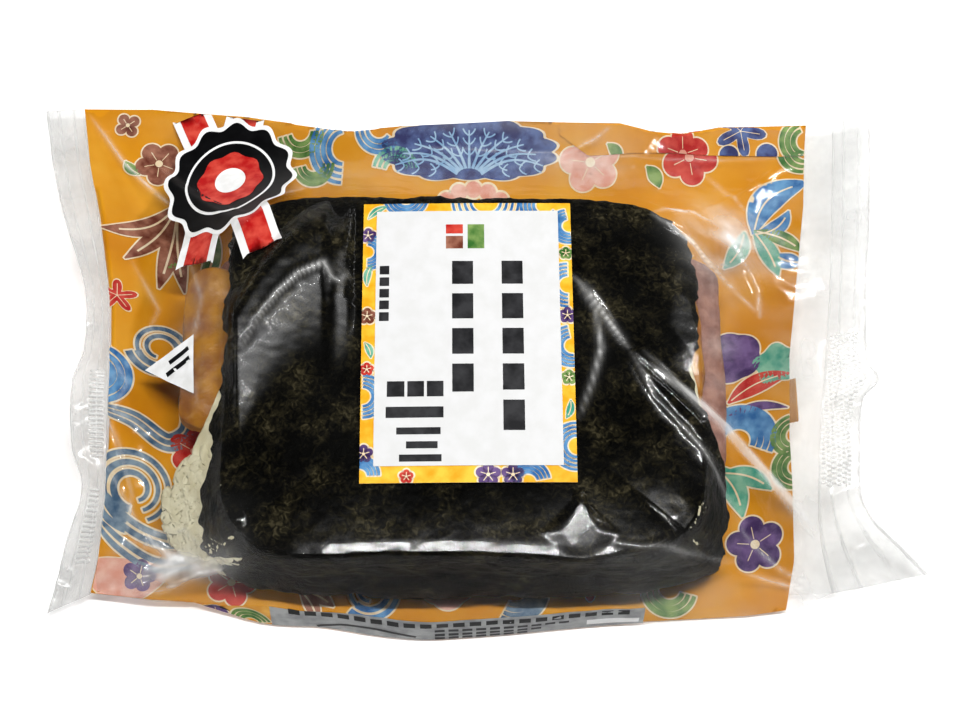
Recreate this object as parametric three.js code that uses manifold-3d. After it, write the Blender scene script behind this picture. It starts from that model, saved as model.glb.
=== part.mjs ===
// A rice ball wrapped in dried seaweed, shut in a clear pillow bag with a paper label on its top.
// The bag is one closed body, full to the outline of its film: it lies over the rice block, runs down to its
// folded long edges and ends in a flat seal strip at the left and at the right. A folded back seam runs along
// its underside, out to both strips. The label is a thin sheet that follows the top of the film.
// Millimetres, +Z up, +X along the bag and +Y away from the viewer. The origin lies on the table, under the
// middle of the rice block.
import * as THREE from "three";
import { mergeVertices } from "three/addons/utils/BufferGeometryUtils.js";
import Module from "manifold-3d";

// The film leaves the rice block at its shoulder and leaves the table at its foot: rounded rectangles.
const SHOULDER = { halfX: 49, halfY: 40, corner: 15, drop: 1.6 };
const FOOT = { halfX: 43, halfY: 34, corner: 12, z: 0 };
const TOP_Z = 34;
const CROWN = { x: 1.5, y: 1.3 };

// The lines where the upper and the lower film meet, anticlockwise from the near left corner.
const NEAR_LINE = [
  [-79, -41, 4], [-66, -42.6, 4.4], [-57, -42.8, 3], [-43, -46.6, 1], [-30, -47.4, 0.8], [-17, -49.4, 0.7],
  [-5, -50, 0.7], [37, -46.4, 0.7], [60, -45.2, 1], [70, -44, 2.2], [78, -41, 4],
];
const RIGHT_LINE = [
  [78, -41, 4], [75.6, -30, 8.4], [75.2, -20, 12.4], [76, -8, 15], [78, 8, 16], [80.5, 27, 14.5],
  [83, 48, 10.4], [85.5, 71.5, 6],
];
const FAR_LINE = [
  [85.5, 71.5, 6], [59, 70.6, 6.4], [50, 68.6, 7], [43, 68.8, 7.8], [36, 70.8, 8], [10, 71.4, 8],
  [-15, 70, 8], [-27, 68.6, 8], [-51, 73.4, 6.4], [-73, 76, 5.2], [-89, 76.2, 5],
];
const LEFT_LINE = [
  [-89, 76.2, 5], [-86, 60, 8], [-82.5, 46, 11], [-78, 23, 14.2], [-76.6, 6, 15.6], [-76, -10, 15],
  [-76.2, -22, 11.6], [-77.5, -34, 7], [-79, -41, 4],
];

// The cut edges of the two seal strips, in the same direction, and the film's fold on the two long sides.
const RIGHT_CUT = [
  [99, -36.6, 3], [91, -29.8, 7.4], [84.6, -23, 12], [84.4, -12, 14.4], [85.6, -1.4, 16], [89.2, 3, 16.2],
  [87.2, 8, 16.3], [88.4, 26, 15], [91, 44, 12], [93.2, 62, 8.4], [94.2, 74.4, 6],
];
const LEFT_CUT = [
  [-98.2, 76, 4], [-94.8, 61, 7], [-90.6, 46, 10.2], [-83.4, 25, 14], [-82.4, 11, 15], [-84.2, 3, 16],
  [-83.2, -12, 15], [-80.9, -20, 12.4], [-84, -30.4, 8], [-88, -45, 2.4],
];
const FOLD_WIDTH = 0.7;
const SEAL_THICKNESS = 0.8;

// The four sides in turn. The film above hangs: it drops first and then runs out flat, the more so the larger
// hang is, and most of all towards the corners. The near panel stands out, and the film below hangs down.
const CORNER_HANG = 1.7;
const SIDES = [
  { inner: NEAR_LINE, fold: [0, -FOLD_WIDTH, 0], segments: 40, hang: 0, stand: -1.8, below: [0, -2, 0] },
  { inner: RIGHT_LINE, cut: RIGHT_CUT, segments: 28, hang: 0.3, stand: 0, below: [0, 0, -2.2] },
  { inner: FAR_LINE, fold: [0, FOLD_WIDTH, 0], segments: 40, hang: 0.5, stand: 0, below: [0, 0, -2.2] },
  { inner: LEFT_LINE, cut: LEFT_CUT, segments: 28, hang: 0.3, stand: 0, below: [0, 0, -2.2] },
];

// Long creases that the taut film makes, in plan: start, end, height and half width.
const CREASES = [
  { from: [33, 3], to: [75, -40], height: 2.4, width: 3.2 },
  { from: [43, 32], to: [80, 66], height: 1.8, width: 3.4 },
  { from: [-43, 30], to: [-83, 70], height: 1.8, width: 3.6 },
  { from: [-44, -33], to: [-76, -41], height: 1.6, width: 3 },
  { from: [-12, 40], to: [-27, 68], height: 1.6, width: 3.2 },
  { from: [28, 41], to: [44, 68], height: 1.5, width: 3.2 },
];

const BACK_SEAM = { width: 10, thickness: 0.6, sink: 0.5, start: 0.04, end: 0.84, segments: 12 };
const SEAM_ENDS = [{ side: 1, meetingShare: 0.36 }, { side: 3, meetingShare: 0.6 }];
const LABEL = { width: 45, length: 63.5, x: 0.6, y: 5, turn: 0.4, columns: 9, rows: 13 };
const LABEL_THICKNESS = 0.35;
const LABEL_GAP = 0.35;
const CAP_RINGS = 6;
const PANEL_RINGS = 8;
const UNDER_RINGS = 5;

const lerp = (a, b, t) => a + (b - a) * t;
const mix = (a, b, t) => a.map((value, i) => lerp(value, b[i], t));
const add = (a, b, scale = 1) => a.map((value, i) => value + b[i] * scale);
const hump = (t) => Math.sin(Math.PI * Math.min(Math.max(t, 0), 1));

// A point on the smooth line through a few points, at a share of its length.
function lineAt(points, share) {
  const steps = points.slice(1).map((point, i) => Math.hypot(...add(point, points[i], -1)));
  let left = share * steps.reduce((sum, step) => sum + step, 0);
  let i = 0;
  while (i < steps.length - 1 && left > steps[i]) {
    left -= steps[i];
    i += 1;
  }
  const t = Math.min(left / steps[i], 1);
  const [b, c] = [points[i], points[i + 1]];
  const before = i > 0 ? points[i - 1] : add(b, add(c, b, -1), -1);
  const after = i + 2 < points.length ? points[i + 2] : add(c, add(c, b, -1));
  const reach = i > 0 ? steps[i] / (steps[i - 1] + steps[i]) : 0.5;
  const leave = i + 2 < points.length ? steps[i] / (steps[i] + steps[i + 1]) : 0.5;
  const m0 = add(c, before, -1).map((value) => value * reach);
  const m1 = add(after, b, -1).map((value) => value * leave);
  const h = [2 * t ** 3 - 3 * t ** 2 + 1, t ** 3 - 2 * t ** 2 + t, -2 * t ** 3 + 3 * t ** 2, t ** 3 - t ** 2];
  return b.map((value, axis) => h[0] * value + h[1] * m0[axis] + h[2] * c[axis] + h[3] * m1[axis]);
}

// Extra height of the film at a plan point, from the creases.
function creaseHeight(x, y) {
  let height = 0;
  for (const crease of CREASES) {
    const run = [crease.to[0] - crease.from[0], crease.to[1] - crease.from[1]];
    const length = Math.hypot(run[0], run[1]);
    const along = ((x - crease.from[0]) * run[0] + (y - crease.from[1]) * run[1]) / length ** 2;
    if (along <= 0 || along >= 1) continue;
    const aside = Math.abs((x - crease.from[0]) * run[1] - (y - crease.from[1]) * run[0]) / length;
    height += crease.height * Math.sqrt(hump(along)) * Math.exp(-aside / crease.width);
  }
  return height;
}

// Height of the film on top of the rice block.
function topHeight(x, y) {
  const crown = CROWN.x * (x / SHOULDER.halfX) ** 2 + CROWN.y * (y / SHOULDER.halfY) ** 2;
  return TOP_Z - crown + creaseHeight(x, y);
}

// One side of a rounded rectangle: side 0 near, 1 right, 2 far, 3 left, share from 0 to 1 between the middles
// of its two corner arcs, anticlockwise seen from above.
function roundedSide(shape, side, share) {
  const upright = side % 2 === 1;
  const halfLong = upright ? shape.halfY : shape.halfX;
  const halfShort = upright ? shape.halfX : shape.halfY;
  const straight = 2 * (halfLong - shape.corner);
  const arc = (shape.corner * Math.PI) / 4;
  const run = share * (straight + 2 * arc) - arc;
  const past = run < 0 ? run : Math.max(0, run - straight);
  const angle = past / shape.corner;
  const along = Math.min(Math.max(run, 0), straight) - straight / 2 + shape.corner * Math.sin(angle);
  const out = halfShort - shape.corner * (1 - Math.cos(angle));
  return [[along, -out], [out, along], [-along, out], [-out, -along]][side];
}

const meetingPoint = (side, share) => lineAt(SIDES[side].inner, share);

// The seal strip's cut edge, or the thin fold on the two long sides.
function edgePoint(side, share) {
  const { cut, fold } = SIDES[side];
  return cut ? lineAt(cut, share) : add(meetingPoint(side, share), fold);
}

// The panel of film between the shoulder (0) and the line where the films meet (1).
function panelPoint(side, share, out) {
  const { hang, stand } = SIDES[side];
  const [x, y] = roundedSide(SHOULDER, side, share);
  const shoulder = [x, y, topHeight(x, y) - SHOULDER.drop];
  const meeting = meetingPoint(side, share);
  const point = mix(shoulder, meeting, out);
  point[1] += stand * hump(out) * Math.sqrt(hump(share));
  const power = 1 + hang + CORNER_HANG * (1 - hump(share));
  const fade = Math.sqrt(4 * out * (1 - out));
  point[2] = lerp(shoulder[2], meeting[2], 1 - (1 - out) ** power) + creaseHeight(point[0], point[1]) * fade;
  return point;
}

// The underside between the line where the films meet (0) and the foot (1).
function underPoint(side, share, inward) {
  const [x, y] = roundedSide(FOOT, side, share);
  const point = mix(meetingPoint(side, share), [x, y, FOOT.z], inward);
  const swell = add(point, SIDES[side].below, hump(inward) * Math.sqrt(hump(share)));
  return [swell[0], swell[1], Math.max(swell[2], FOOT.z)];
}

// All points of one ring, from a function of side and share.
function ring(pointAt) {
  const points = [];
  SIDES.forEach(({ segments }, side) => {
    for (let i = 0; i < segments; i += 1) points.push(pointAt(side, i / segments));
  });
  return points;
}

function geometryOf(points, index) {
  const geometry = new THREE.BufferGeometry();
  geometry.setAttribute("position", new THREE.Float32BufferAttribute(points.flat(), 3));
  geometry.setIndex(index);
  return geometry;
}

// A closed body from rings that run from its top centre to its bottom centre.
function bodyOfRings(topCentre, rings, bottomCentre) {
  const count = rings[0].length;
  const points = [topCentre, ...rings.flat(), bottomCentre];
  const index = [];
  const at = (row, column) => 1 + row * count + (column % count);
  for (let column = 0; column < count; column += 1) {
    index.push(0, at(0, column), at(0, column + 1));
    for (let row = 0; row + 1 < rings.length; row += 1) {
      index.push(at(row, column), at(row + 1, column), at(row + 1, column + 1));
      index.push(at(row, column), at(row + 1, column + 1), at(row, column + 1));
    }
    index.push(points.length - 1, at(rings.length - 1, column + 1), at(rings.length - 1, column));
  }
  return geometryOf(points, index);
}

// A closed slab between two sheets of points with the same rows and columns.
function slab(upper, lower) {
  const rows = upper.length;
  const columns = upper[0].length;
  const points = [...upper.flat(), ...lower.flat()];
  const top = (r, c) => r * columns + c;
  const under = (r, c) => rows * columns + top(r, c);
  const index = [];
  const quad = (a, b, c, d) => index.push(a, b, c, a, c, d);
  for (let r = 0; r + 1 < rows; r += 1) {
    for (let c = 0; c + 1 < columns; c += 1) {
      quad(top(r, c), top(r, c + 1), top(r + 1, c + 1), top(r + 1, c));
      quad(under(r, c), under(r + 1, c), under(r + 1, c + 1), under(r, c + 1));
    }
    quad(top(r, 0), top(r + 1, 0), under(r + 1, 0), under(r, 0));
    quad(top(r + 1, columns - 1), top(r, columns - 1), under(r, columns - 1), under(r + 1, columns - 1));
  }
  for (let c = 0; c + 1 < columns; c += 1) {
    quad(top(0, c + 1), top(0, c), under(0, c), under(0, c + 1));
    quad(top(rows - 1, c), top(rows - 1, c + 1), under(rows - 1, c + 1), under(rows - 1, c));
  }
  return geometryOf(points, index);
}

function bagBody() {
  const rings = [];
  for (let i = 1; i <= CAP_RINGS; i += 1) {
    const share = i / CAP_RINGS;
    rings.push(ring((side, along) => {
      const [x, y] = roundedSide(SHOULDER, side, along).map((value) => value * share);
      return [x, y, topHeight(x, y) - SHOULDER.drop * share ** 10];
    }));
  }
  for (let i = 1; i < PANEL_RINGS; i += 1) {
    rings.push(ring((side, along) => panelPoint(side, along, i / PANEL_RINGS)));
  }
  const half = SEAL_THICKNESS / 2;
  rings.push(ring((side, along) => add(meetingPoint(side, along), [0, 0, half])));
  rings.push(ring((side, along) => add(edgePoint(side, along), [0, 0, half])));
  rings.push(ring((side, along) => add(edgePoint(side, along), [0, 0, -half])));
  rings.push(ring((side, along) => add(meetingPoint(side, along), [0, 0, -half])));
  for (let i = 1; i <= UNDER_RINGS; i += 1) {
    rings.push(ring((side, along) => underPoint(side, along, i / UNDER_RINGS)));
  }
  return bodyOfRings([0, 0, topHeight(0, 0)], rings, [0, 0, FOOT.z]);
}

// One end of the folded back seam: a ribbon under the film, between a seal strip and the foot. The films meet
// at the ribbon's middle at the stated share of that side.
function backSeam({ side, meetingShare }) {
  const line = [];
  for (let i = 0; i <= BACK_SEAM.segments; i += 1) {
    const inward = lerp(BACK_SEAM.start, BACK_SEAM.end, i / BACK_SEAM.segments);
    line.push(underPoint(side, lerp(meetingShare, 0.5, inward), inward));
  }
  line.sort((a, b) => a[0] - b[0]);
  const edges = [-BACK_SEAM.width / 2, BACK_SEAM.width / 2];
  const sheet = (rise) => edges.map((y) => line.map((point) => [point[0], y, point[2] + rise]));
  return slab(sheet(BACK_SEAM.sink), sheet(-BACK_SEAM.thickness));
}

function labelSheet() {
  const cos = Math.cos(THREE.MathUtils.degToRad(LABEL.turn));
  const sin = Math.sin(THREE.MathUtils.degToRad(LABEL.turn));
  const pointAt = (row, column, rise) => {
    const across = (column / LABEL.columns - 0.5) * LABEL.width;
    const up = (row / LABEL.rows - 0.5) * LABEL.length;
    const x = LABEL.x + across * cos - up * sin;
    const y = LABEL.y + across * sin + up * cos;
    return [x, y, topHeight(x, y) + rise];
  };
  const sheet = (rise) => Array.from({ length: LABEL.rows + 1 }, (_, row) => (
    Array.from({ length: LABEL.columns + 1 }, (__, column) => pointAt(row, column, rise))
  ));
  return slab(sheet(LABEL_GAP + LABEL_THICKNESS), sheet(LABEL_GAP));
}

const wasm = await Module();
wasm.setup();

function toSolid(geometry) {
  const merged = mergeVertices(geometry, 1e-4);
  const vertProperties = new Float32Array(merged.attributes.position.array);
  const triVerts = new Uint32Array(merged.index.array);
  return new wasm.Manifold(new wasm.Mesh({ numProp: 3, vertProperties, triVerts }));
}

function toGeometry(solid) {
  const mesh = solid.getMesh();
  const geometry = new THREE.BufferGeometry();
  geometry.setAttribute("position", new THREE.BufferAttribute(new Float32Array(mesh.vertProperties), 3));
  geometry.setIndex(new THREE.BufferAttribute(new Uint32Array(mesh.triVerts), 1));
  geometry.computeVertexNormals();
  return geometry;
}

function namedMesh(name, geometry, color, roughness) {
  const mesh = new THREE.Mesh(geometry, new THREE.MeshStandardMaterial({ color, roughness, metalness: 0 }));
  mesh.name = name;
  return mesh;
}

const pack = new THREE.Group();
const bag = SEAM_ENDS.reduce((body, end) => body.add(toSolid(backSeam(end))), toSolid(bagBody()));
pack.add(namedMesh("bag", toGeometry(bag), 0xd9962f, 0.25));
pack.add(namedMesh("label", labelSheet(), 0xf2f1ee, 0.45));

export default pack;
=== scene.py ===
"""A rice block wrapped in seaweed, shut in a clear printed pillow bag with a paper label: its looks."""
import math

import bpy
import numpy as np
from mathutils import Matrix, Vector, noise
from mathutils.bvhtree import BVHTree


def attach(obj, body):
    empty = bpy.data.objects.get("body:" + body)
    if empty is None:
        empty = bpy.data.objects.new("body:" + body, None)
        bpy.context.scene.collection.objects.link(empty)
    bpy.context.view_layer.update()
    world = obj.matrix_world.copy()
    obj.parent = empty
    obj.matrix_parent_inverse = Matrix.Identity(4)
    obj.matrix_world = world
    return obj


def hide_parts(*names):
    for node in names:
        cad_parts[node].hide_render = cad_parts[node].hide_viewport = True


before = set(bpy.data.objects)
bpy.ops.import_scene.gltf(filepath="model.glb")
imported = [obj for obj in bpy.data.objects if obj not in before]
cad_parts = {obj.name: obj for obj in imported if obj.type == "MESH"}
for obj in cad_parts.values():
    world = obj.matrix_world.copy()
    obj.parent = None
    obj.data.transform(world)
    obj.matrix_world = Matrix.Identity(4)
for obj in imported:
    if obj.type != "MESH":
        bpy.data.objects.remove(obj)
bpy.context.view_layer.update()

# Sizes are in millimetres, in the part's own frame, and become metres when a mesh is made.
MM = 0.001

# The film's form, as in the part
SHOULDER = {"half_x": 49, "half_y": 40, "corner": 15}
FOOT = {"half_x": 43, "half_y": 34, "corner": 12, "z": 0.3}
TOP_Z = 34
CROWN_X, CROWN_Y = 1.5, 1.3
NEAR_LINE = [
    (-79, -41, 4), (-66, -42.6, 4.4), (-57, -42.8, 3), (-43, -46.6, 1), (-30, -47.4, 0.8), (-17, -49.4, 0.7),
    (-5, -50, 0.7), (37, -46.4, 0.7), (60, -45.2, 1), (70, -44, 2.2), (78, -41, 4),
]
RIGHT_LINE = [
    (78, -41, 4), (75.6, -30, 8.4), (75.2, -20, 12.4), (76, -8, 15), (78, 8, 16), (80.5, 27, 14.5),
    (83, 48, 10.4), (85.5, 71.5, 6),
]
FAR_LINE = [
    (85.5, 71.5, 6), (59, 70.6, 6.4), (50, 68.6, 7), (43, 68.8, 7.8), (36, 70.8, 8), (10, 71.4, 8),
    (-15, 70, 8), (-27, 68.6, 8), (-51, 73.4, 6.4), (-73, 76, 5.2), (-89, 76.2, 5),
]
LEFT_LINE = [
    (-89, 76.2, 5), (-86, 60, 8), (-82.5, 46, 11), (-78, 23, 14.2), (-76.6, 6, 15.6), (-76, -10, 15),
    (-76.2, -22, 11.6), (-77.5, -34, 7), (-79, -41, 4),
]
RIGHT_CUT = [
    (99, -36.6, 3), (91, -29.8, 7.4), (84.6, -23, 12), (84.4, -12, 14.4), (85.6, -1.4, 16), (89.2, 3, 16.2),
    (87.2, 8, 16.3), (88.4, 26, 15), (91, 44, 12), (93.2, 62, 8.4), (94.2, 74.4, 6),
]
LEFT_CUT = [
    (-98.2, 76, 4), (-94.8, 61, 7), (-90.6, 46, 10.2), (-83.4, 25, 14), (-82.4, 11, 15), (-84.2, 3, 16),
    (-83.2, -12, 15), (-80.9, -20, 12.4), (-84, -30.4, 8), (-88, -45, 2.4),
]
CORNER_HANG = 1.7
SIDES = [
    {"line": NEAR_LINE, "columns": 185, "hang": 0, "stand": -1.8, "below": (0, -2, 0), "drop": 0.45},
    {"line": RIGHT_LINE, "columns": 125, "hang": 0.3, "stand": 0, "below": (0, 0, -2.2), "drop": 1.8},
    {"line": FAR_LINE, "columns": 185, "hang": 0.5, "stand": 0, "below": (0, 0, -2.2), "drop": 1.8},
    {"line": LEFT_LINE, "columns": 125, "hang": 0.3, "stand": 0, "below": (0, 0, -2.2), "drop": 1.8},
]
CREASES = [
    ((33, 3), (75, -40), 2.2, 2.0), ((43, 32), (80, 66), 1.8, 3.4), ((-43, 30), (-83, 70), 1.8, 3.6),
    ((-44, -33), (-76, -41), 1.6, 3), ((-12, 40), (-27, 68), 1.6, 3.2), ((28, 41), (44, 68), 1.5, 3.2),
]
LABEL = {"width": 44, "length": 63.3, "x": 0.95, "y": 5, "turn": math.radians(0.4), "gap": 0.4, "thickness": 0.12}

BADGE = {
    "centre": -53+53.2j, "radius": 14.6, "stretch": 1.28, "notch": 6,
    # Ink, share of the radius and number of scallops
    "discs": [
        ("white", 1, 12), ("black", 0.93, 12), ("white", 0.7, 0), ("black", 0.66, 0), ("red", 0.5, 8),
        ("white", 0.24, 0),
    ],
    # Start, end and width
    "ribbons": [
        (-56+48j, -58.5+27j, 9), (-50+48j, -42.5+26j, 9),
        (-57+58j, -64+74j, 9), (-54+58j, -51+73j, 9),
    ],
}

# Where the print stops short of the right seal, from near to far
PRINT_RIGHT = [
    (68.3, -44.7), (70.4, -34), (70.2, -22), (70, -8), (71.1, 10.5), (74.2, 30.6), (77.2, 49.6), (79.3, 71.3),
]


def hump(t):
    return np.sin(np.pi * np.clip(t, 0, 1))


def line_at(points, share):
    """A point on the smooth line through a few points, at a share of its length."""
    points = [np.array(p, float) for p in points]
    steps = [np.linalg.norm(b - a) for a, b in zip(points, points[1:])]
    left = share * sum(steps)
    i = 0
    while i < len(steps) - 1 and left > steps[i]:
        left -= steps[i]
        i += 1
    t = min(left / steps[i], 1)
    b, c = points[i], points[i + 1]
    first, last = i == 0, i + 2 == len(points)
    before = 2 * b - c if first else points[i - 1]
    after = 2 * c - b if last else points[i + 2]
    m0 = (c - before) * (0.5 if first else steps[i] / (steps[i - 1] + steps[i]))
    m1 = (after - b) * (0.5 if last else steps[i] / (steps[i] + steps[i + 1]))
    return ((2 * t**3 - 3 * t**2 + 1) * b + (t**3 - 2 * t**2 + t) * m0
            + (3 * t**2 - 2 * t**3) * c + (t**3 - t**2) * m1)


def line_points(points, count):
    return np.array([line_at(points, i / (count - 1)) for i in range(count)])


def by_y(points):
    """A line's X as a function of Y, as np.interp takes it."""
    return tuple(np.array(sorted((p[1], p[0]) for p in points)).T)


def by_x(points):
    """A line's Y as a function of X, as np.interp takes it."""
    return tuple(np.array(sorted((p[0], p[1]) for p in points)).T)


def crease_height(x, y):
    """Extra height of the film at plan points, from its long creases."""
    height = np.zeros(np.shape(x))
    for (ax, ay), (bx, by), rise, width in CREASES:
        length = math.hypot(bx - ax, by - ay)
        along = ((x - ax) * (bx - ax) + (y - ay) * (by - ay)) / length**2
        aside = np.abs((x - ax) * (by - ay) - (y - ay) * (bx - ax)) / length
        height += rise * np.sqrt(hump(along)) * np.exp(-aside / width)
    return height


def top_height(x, y):
    """Height of the film on top of the rice block."""
    crown = CROWN_X * (x / SHOULDER["half_x"]) ** 2 + CROWN_Y * (y / SHOULDER["half_y"]) ** 2
    return TOP_Z - crown + crease_height(x, y)


def rounded_side(shape, side, share):
    """One side of a rounded rectangle, between the middles of its two corner arcs: near, right, far, left."""
    upright = side % 2 == 1
    half_long = shape["half_y"] if upright else shape["half_x"]
    half_short = shape["half_x"] if upright else shape["half_y"]
    corner = shape["corner"]
    straight = 2 * (half_long - corner)
    arc = corner * math.pi / 4
    run = share * (straight + 2 * arc) - arc
    past = run if run < 0 else max(0, run - straight)
    along = min(max(run, 0), straight) - straight / 2 + corner * math.sin(past / corner)
    out = half_short - corner * (1 - math.cos(past / corner))
    return ((along, -out), (out, along), (-along, out), (-out, -along))[side]


def ring_columns():
    """The columns round the bag: share along the side, block shoulder, foot and meeting line of each."""
    columns = []
    for index, side in enumerate(SIDES):
        for i in range(side["columns"]):
            share = i / side["columns"]
            meeting = line_at(side["line"], share)
            shoulder, foot = rounded_side(SHOULDER, index, share), rounded_side(FOOT, index, share)
            columns.append((index, share, shoulder, foot, meeting))
    index, share, shoulder, foot, meeting = zip(*columns)
    return {
        "side": np.array(index), "share": np.array(share), "shoulder": np.array(shoulder),
        "foot": np.array(foot), "meeting": np.array(meeting),
    }


RING = ring_columns()


def side_values(key):
    return np.array([side[key] for side in SIDES], float)[RING["side"]]


# How far the film's near shoulder strays from a straight line: X and stray along Y
STRAY = [(-52, -4.2), (-36, -2.8), (-24.6, -2.2), (-16.5, -1.4), (3.5, -1.4), (16.6, -2.2), (24.8, -3.4), (30, -2.2),
         (35.5, -0.6), (46, -0.6), (58, 0.4)]
SHOULDER_DROP = 1.8
RIM_POWER = 7


def shoulder_line():
    x, y = RING["shoulder"].T
    stray = np.interp(x, *np.array(STRAY).T)
    return x, y + np.where(RING["side"] == 0, stray * np.sqrt(hump(RING["share"])), 0)


def edge_drop():
    """How far the film falls at the shoulder, least along the near side."""
    return SHOULDER_DROP + (side_values("drop") - SHOULDER_DROP) * np.sqrt(hump(RING["share"]))


def panel_row(out):
    """A ring of film between the shoulder (0) and the line where the films meet (1)."""
    x, y = shoulder_line()
    top = top_height(x, y) - edge_drop()
    meeting = RING["meeting"]
    px = x + (meeting[:, 0] - x) * out
    py = y + (meeting[:, 1] - y) * out + side_values("stand") * hump(out) * np.sqrt(hump(RING["share"]))
    power = 1 + side_values("hang") + CORNER_HANG * (1 - hump(RING["share"]))
    z = top + (meeting[:, 2] - top) * (1 - (1 - out) ** power)
    return np.stack([px, py, z + crease_height(px, py) * math.sqrt(4 * out * (1 - out))], 1)


# The near shoulder's facet: where it starts and ends as shares of the way out, and its fall
FACET = {"start": 0.93, "end": 0.988, "fall": 0.165}


def cap_row(share):
    """A ring of film over the block. Each shoulder is rounded, and the near one has a narrow facet before its edge."""
    x, y = np.array(shoulder_line()) * share
    near = np.where(RING["side"] == 0, np.sqrt(hump(RING["share"])), 0)
    rounded = edge_drop() * share**RIM_POWER
    uneven = 1 + 0.26 * np.sin(x / 5.1) * np.sin(x / 1.9)
    facet = FACET["fall"] * uneven * min(max((share - FACET["start"]) / (FACET["end"] - FACET["start"]), 0), 1)
    edge = (edge_drop() - FACET["fall"] * uneven) * max(share - FACET["end"], 0) / (1 - FACET["end"])
    return np.stack([x, y, top_height(x, y) - rounded * (1 - near) - (facet + edge) * near], 1)


def under_row(inward):
    """A ring of the lower film between the meeting line (0) and the foot (1)."""
    foot = np.column_stack([RING["foot"], np.full(len(RING["foot"]), FOOT["z"])])
    below = side_values("below") * (hump(inward) * np.sqrt(hump(RING["share"])))[:, None]
    points = RING["meeting"] + (foot - RING["meeting"]) * inward + below
    points[:, 2] = np.maximum(points[:, 2], FOOT["z"])
    return points


# Meshes
def grid_faces(rows, columns, start=0, wrap=False):
    faces = []
    for r in range(rows - 1):
        for c in range(columns if wrap else columns - 1):
            d = (c + 1) % columns
            faces.append((start + r * columns + c, start + r * columns + d,
                          start + (r + 1) * columns + d, start + (r + 1) * columns + c))
    return faces


def slab_faces(rows, columns, flip=False):
    """Faces of a thin closed body: an upper grid, a lower grid after it, and the rim that joins them."""
    size = rows * columns
    rim = list(range(columns)) + [r * columns + columns - 1 for r in range(1, rows)]
    rim += [(rows - 1) * columns + c for c in range(columns - 2, -1, -1)]
    rim += [r * columns for r in range(rows - 2, 0, -1)]
    faces = grid_faces(rows, columns) + [face[::-1] for face in grid_faces(rows, columns, size)]
    faces += [(b, a, a + size, b + size) for a, b in zip(rim, rim[1:] + rim[:1])]
    return [face[::-1] for face in faces] if flip else faces


def new_piece(name, points, faces, material):
    """A named mesh that rides with the pack, from points in millimetres."""
    data = bpy.data.meshes.new(name)
    data.from_pydata([tuple(p) for p in np.asarray(points, float) * MM], [], faces)
    data.materials.append(material)
    data.shade_smooth()
    piece = bpy.data.objects.new(name, data)
    bpy.context.scene.collection.objects.link(piece)
    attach(piece, "root")
    return piece


def mark(piece, name, values):
    """Stores one number for each point of a mesh. The points must be those that the mesh was made from."""
    attribute = piece.data.attributes.new(name, "FLOAT", "POINT")
    attribute.data.foreach_set("value", np.asarray(values, np.float32).ravel())


def grid_normals(grid, wrap):
    """Unit normals of a grid of points, pointing up for a grid whose rows run outward and columns anticlockwise."""
    down = np.gradient(grid, axis=0)
    if wrap:
        across = (np.roll(grid, -1, 1) - np.roll(grid, 1, 1)) / 2
    else:
        across = np.gradient(grid, axis=1)
    normal = np.cross(down, across)
    return normal / np.maximum(np.linalg.norm(normal, axis=2, keepdims=True), 1e-9)


def noise_at(points, scale, seed, stretch=(1, 1, 1)):
    """Smooth noise from -1 to 1 at many points, with features about scale millimetres across."""
    step = np.array(stretch, float) / scale
    flat = np.reshape(points, (-1, 3)) * step + seed
    return np.reshape([noise.noise(Vector(p)) for p in flat], np.shape(points)[:-1])


def ridge(points, line, height, width):
    """Height of a sharp ridge along a plan line, at many points."""
    best = np.full(points.shape[:-1], 1e9)
    total = sum(math.dist(a, b) for a, b in zip(line, line[1:]))
    share = np.zeros(points.shape[:-1])
    run = 0
    for a, b in zip(line, line[1:]):
        a, b = np.array(a, float), np.array(b, float)
        length = np.linalg.norm(b - a)
        t = np.clip(((points[..., :2] - a) @ (b - a)) / length**2, 0, 1)
        away = np.linalg.norm(points[..., :2] - (a + t[..., None] * (b - a)), axis=-1)
        nearer = away < best
        best = np.where(nearer, away, best)
        share = np.where(nearer, (run + t * length) / total, share)
        run += length
    return height * np.exp(-best / width) * np.sqrt(hump(share))


# Materials
def srgb(red, green, blue):
    """A colour given as 0 to 255 screen values, in linear light."""
    def linear(v):
        v /= 255
        return v / 12.92 if v <= 0.04045 else ((v + 0.055) / 1.055) ** 2.4
    return (linear(red), linear(green), linear(blue), 1)


def new_material(name):
    material = bpy.data.materials.new(name)
    material.use_nodes = True
    tree = material.node_tree
    tree.nodes.clear()
    output = tree.nodes.new("ShaderNodeOutputMaterial")
    return material, tree, output


def add_node(tree, kind, inputs=None, **settings):
    node = tree.nodes.new(kind)
    for key, value in settings.items():
        setattr(node, key, value)
    for key, value in (inputs or {}).items():
        if isinstance(value, bpy.types.NodeSocket):
            tree.links.new(value, node.inputs[key])
        else:
            node.inputs[key].default_value = value
    return node


def noise_node(tree, scale_mm, detail=3, distortion=0, offset=(0, 0, 0)):
    """Noise whose features are about scale_mm across, fixed to the piece."""
    place = add_node(tree, "ShaderNodeTexCoord")
    moved = add_node(tree, "ShaderNodeMapping", {"Vector": place.outputs["Object"], "Location": offset})
    return add_node(tree, "ShaderNodeTexNoise", {
        "Vector": moved.outputs["Vector"], "Scale": 1 / (scale_mm * MM), "Detail": detail, "Distortion": distortion})


def ramp(tree, value, stops):
    node = add_node(tree, "ShaderNodeValToRGB", {"Fac": value})
    while len(node.color_ramp.elements) < len(stops):
        node.color_ramp.elements.new(0.5)
    for element, (position, color) in zip(node.color_ramp.elements, stops):
        element.position = position
        element.color = color
    return node


def bump_of(tree, height, distance_mm, normal=None):
    inputs = {"Height": height, "Distance": distance_mm * MM, "Strength": 1}
    if normal is not None:
        inputs["Normal"] = normal
    return add_node(tree, "ShaderNodeBump", inputs).outputs["Normal"]


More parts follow.
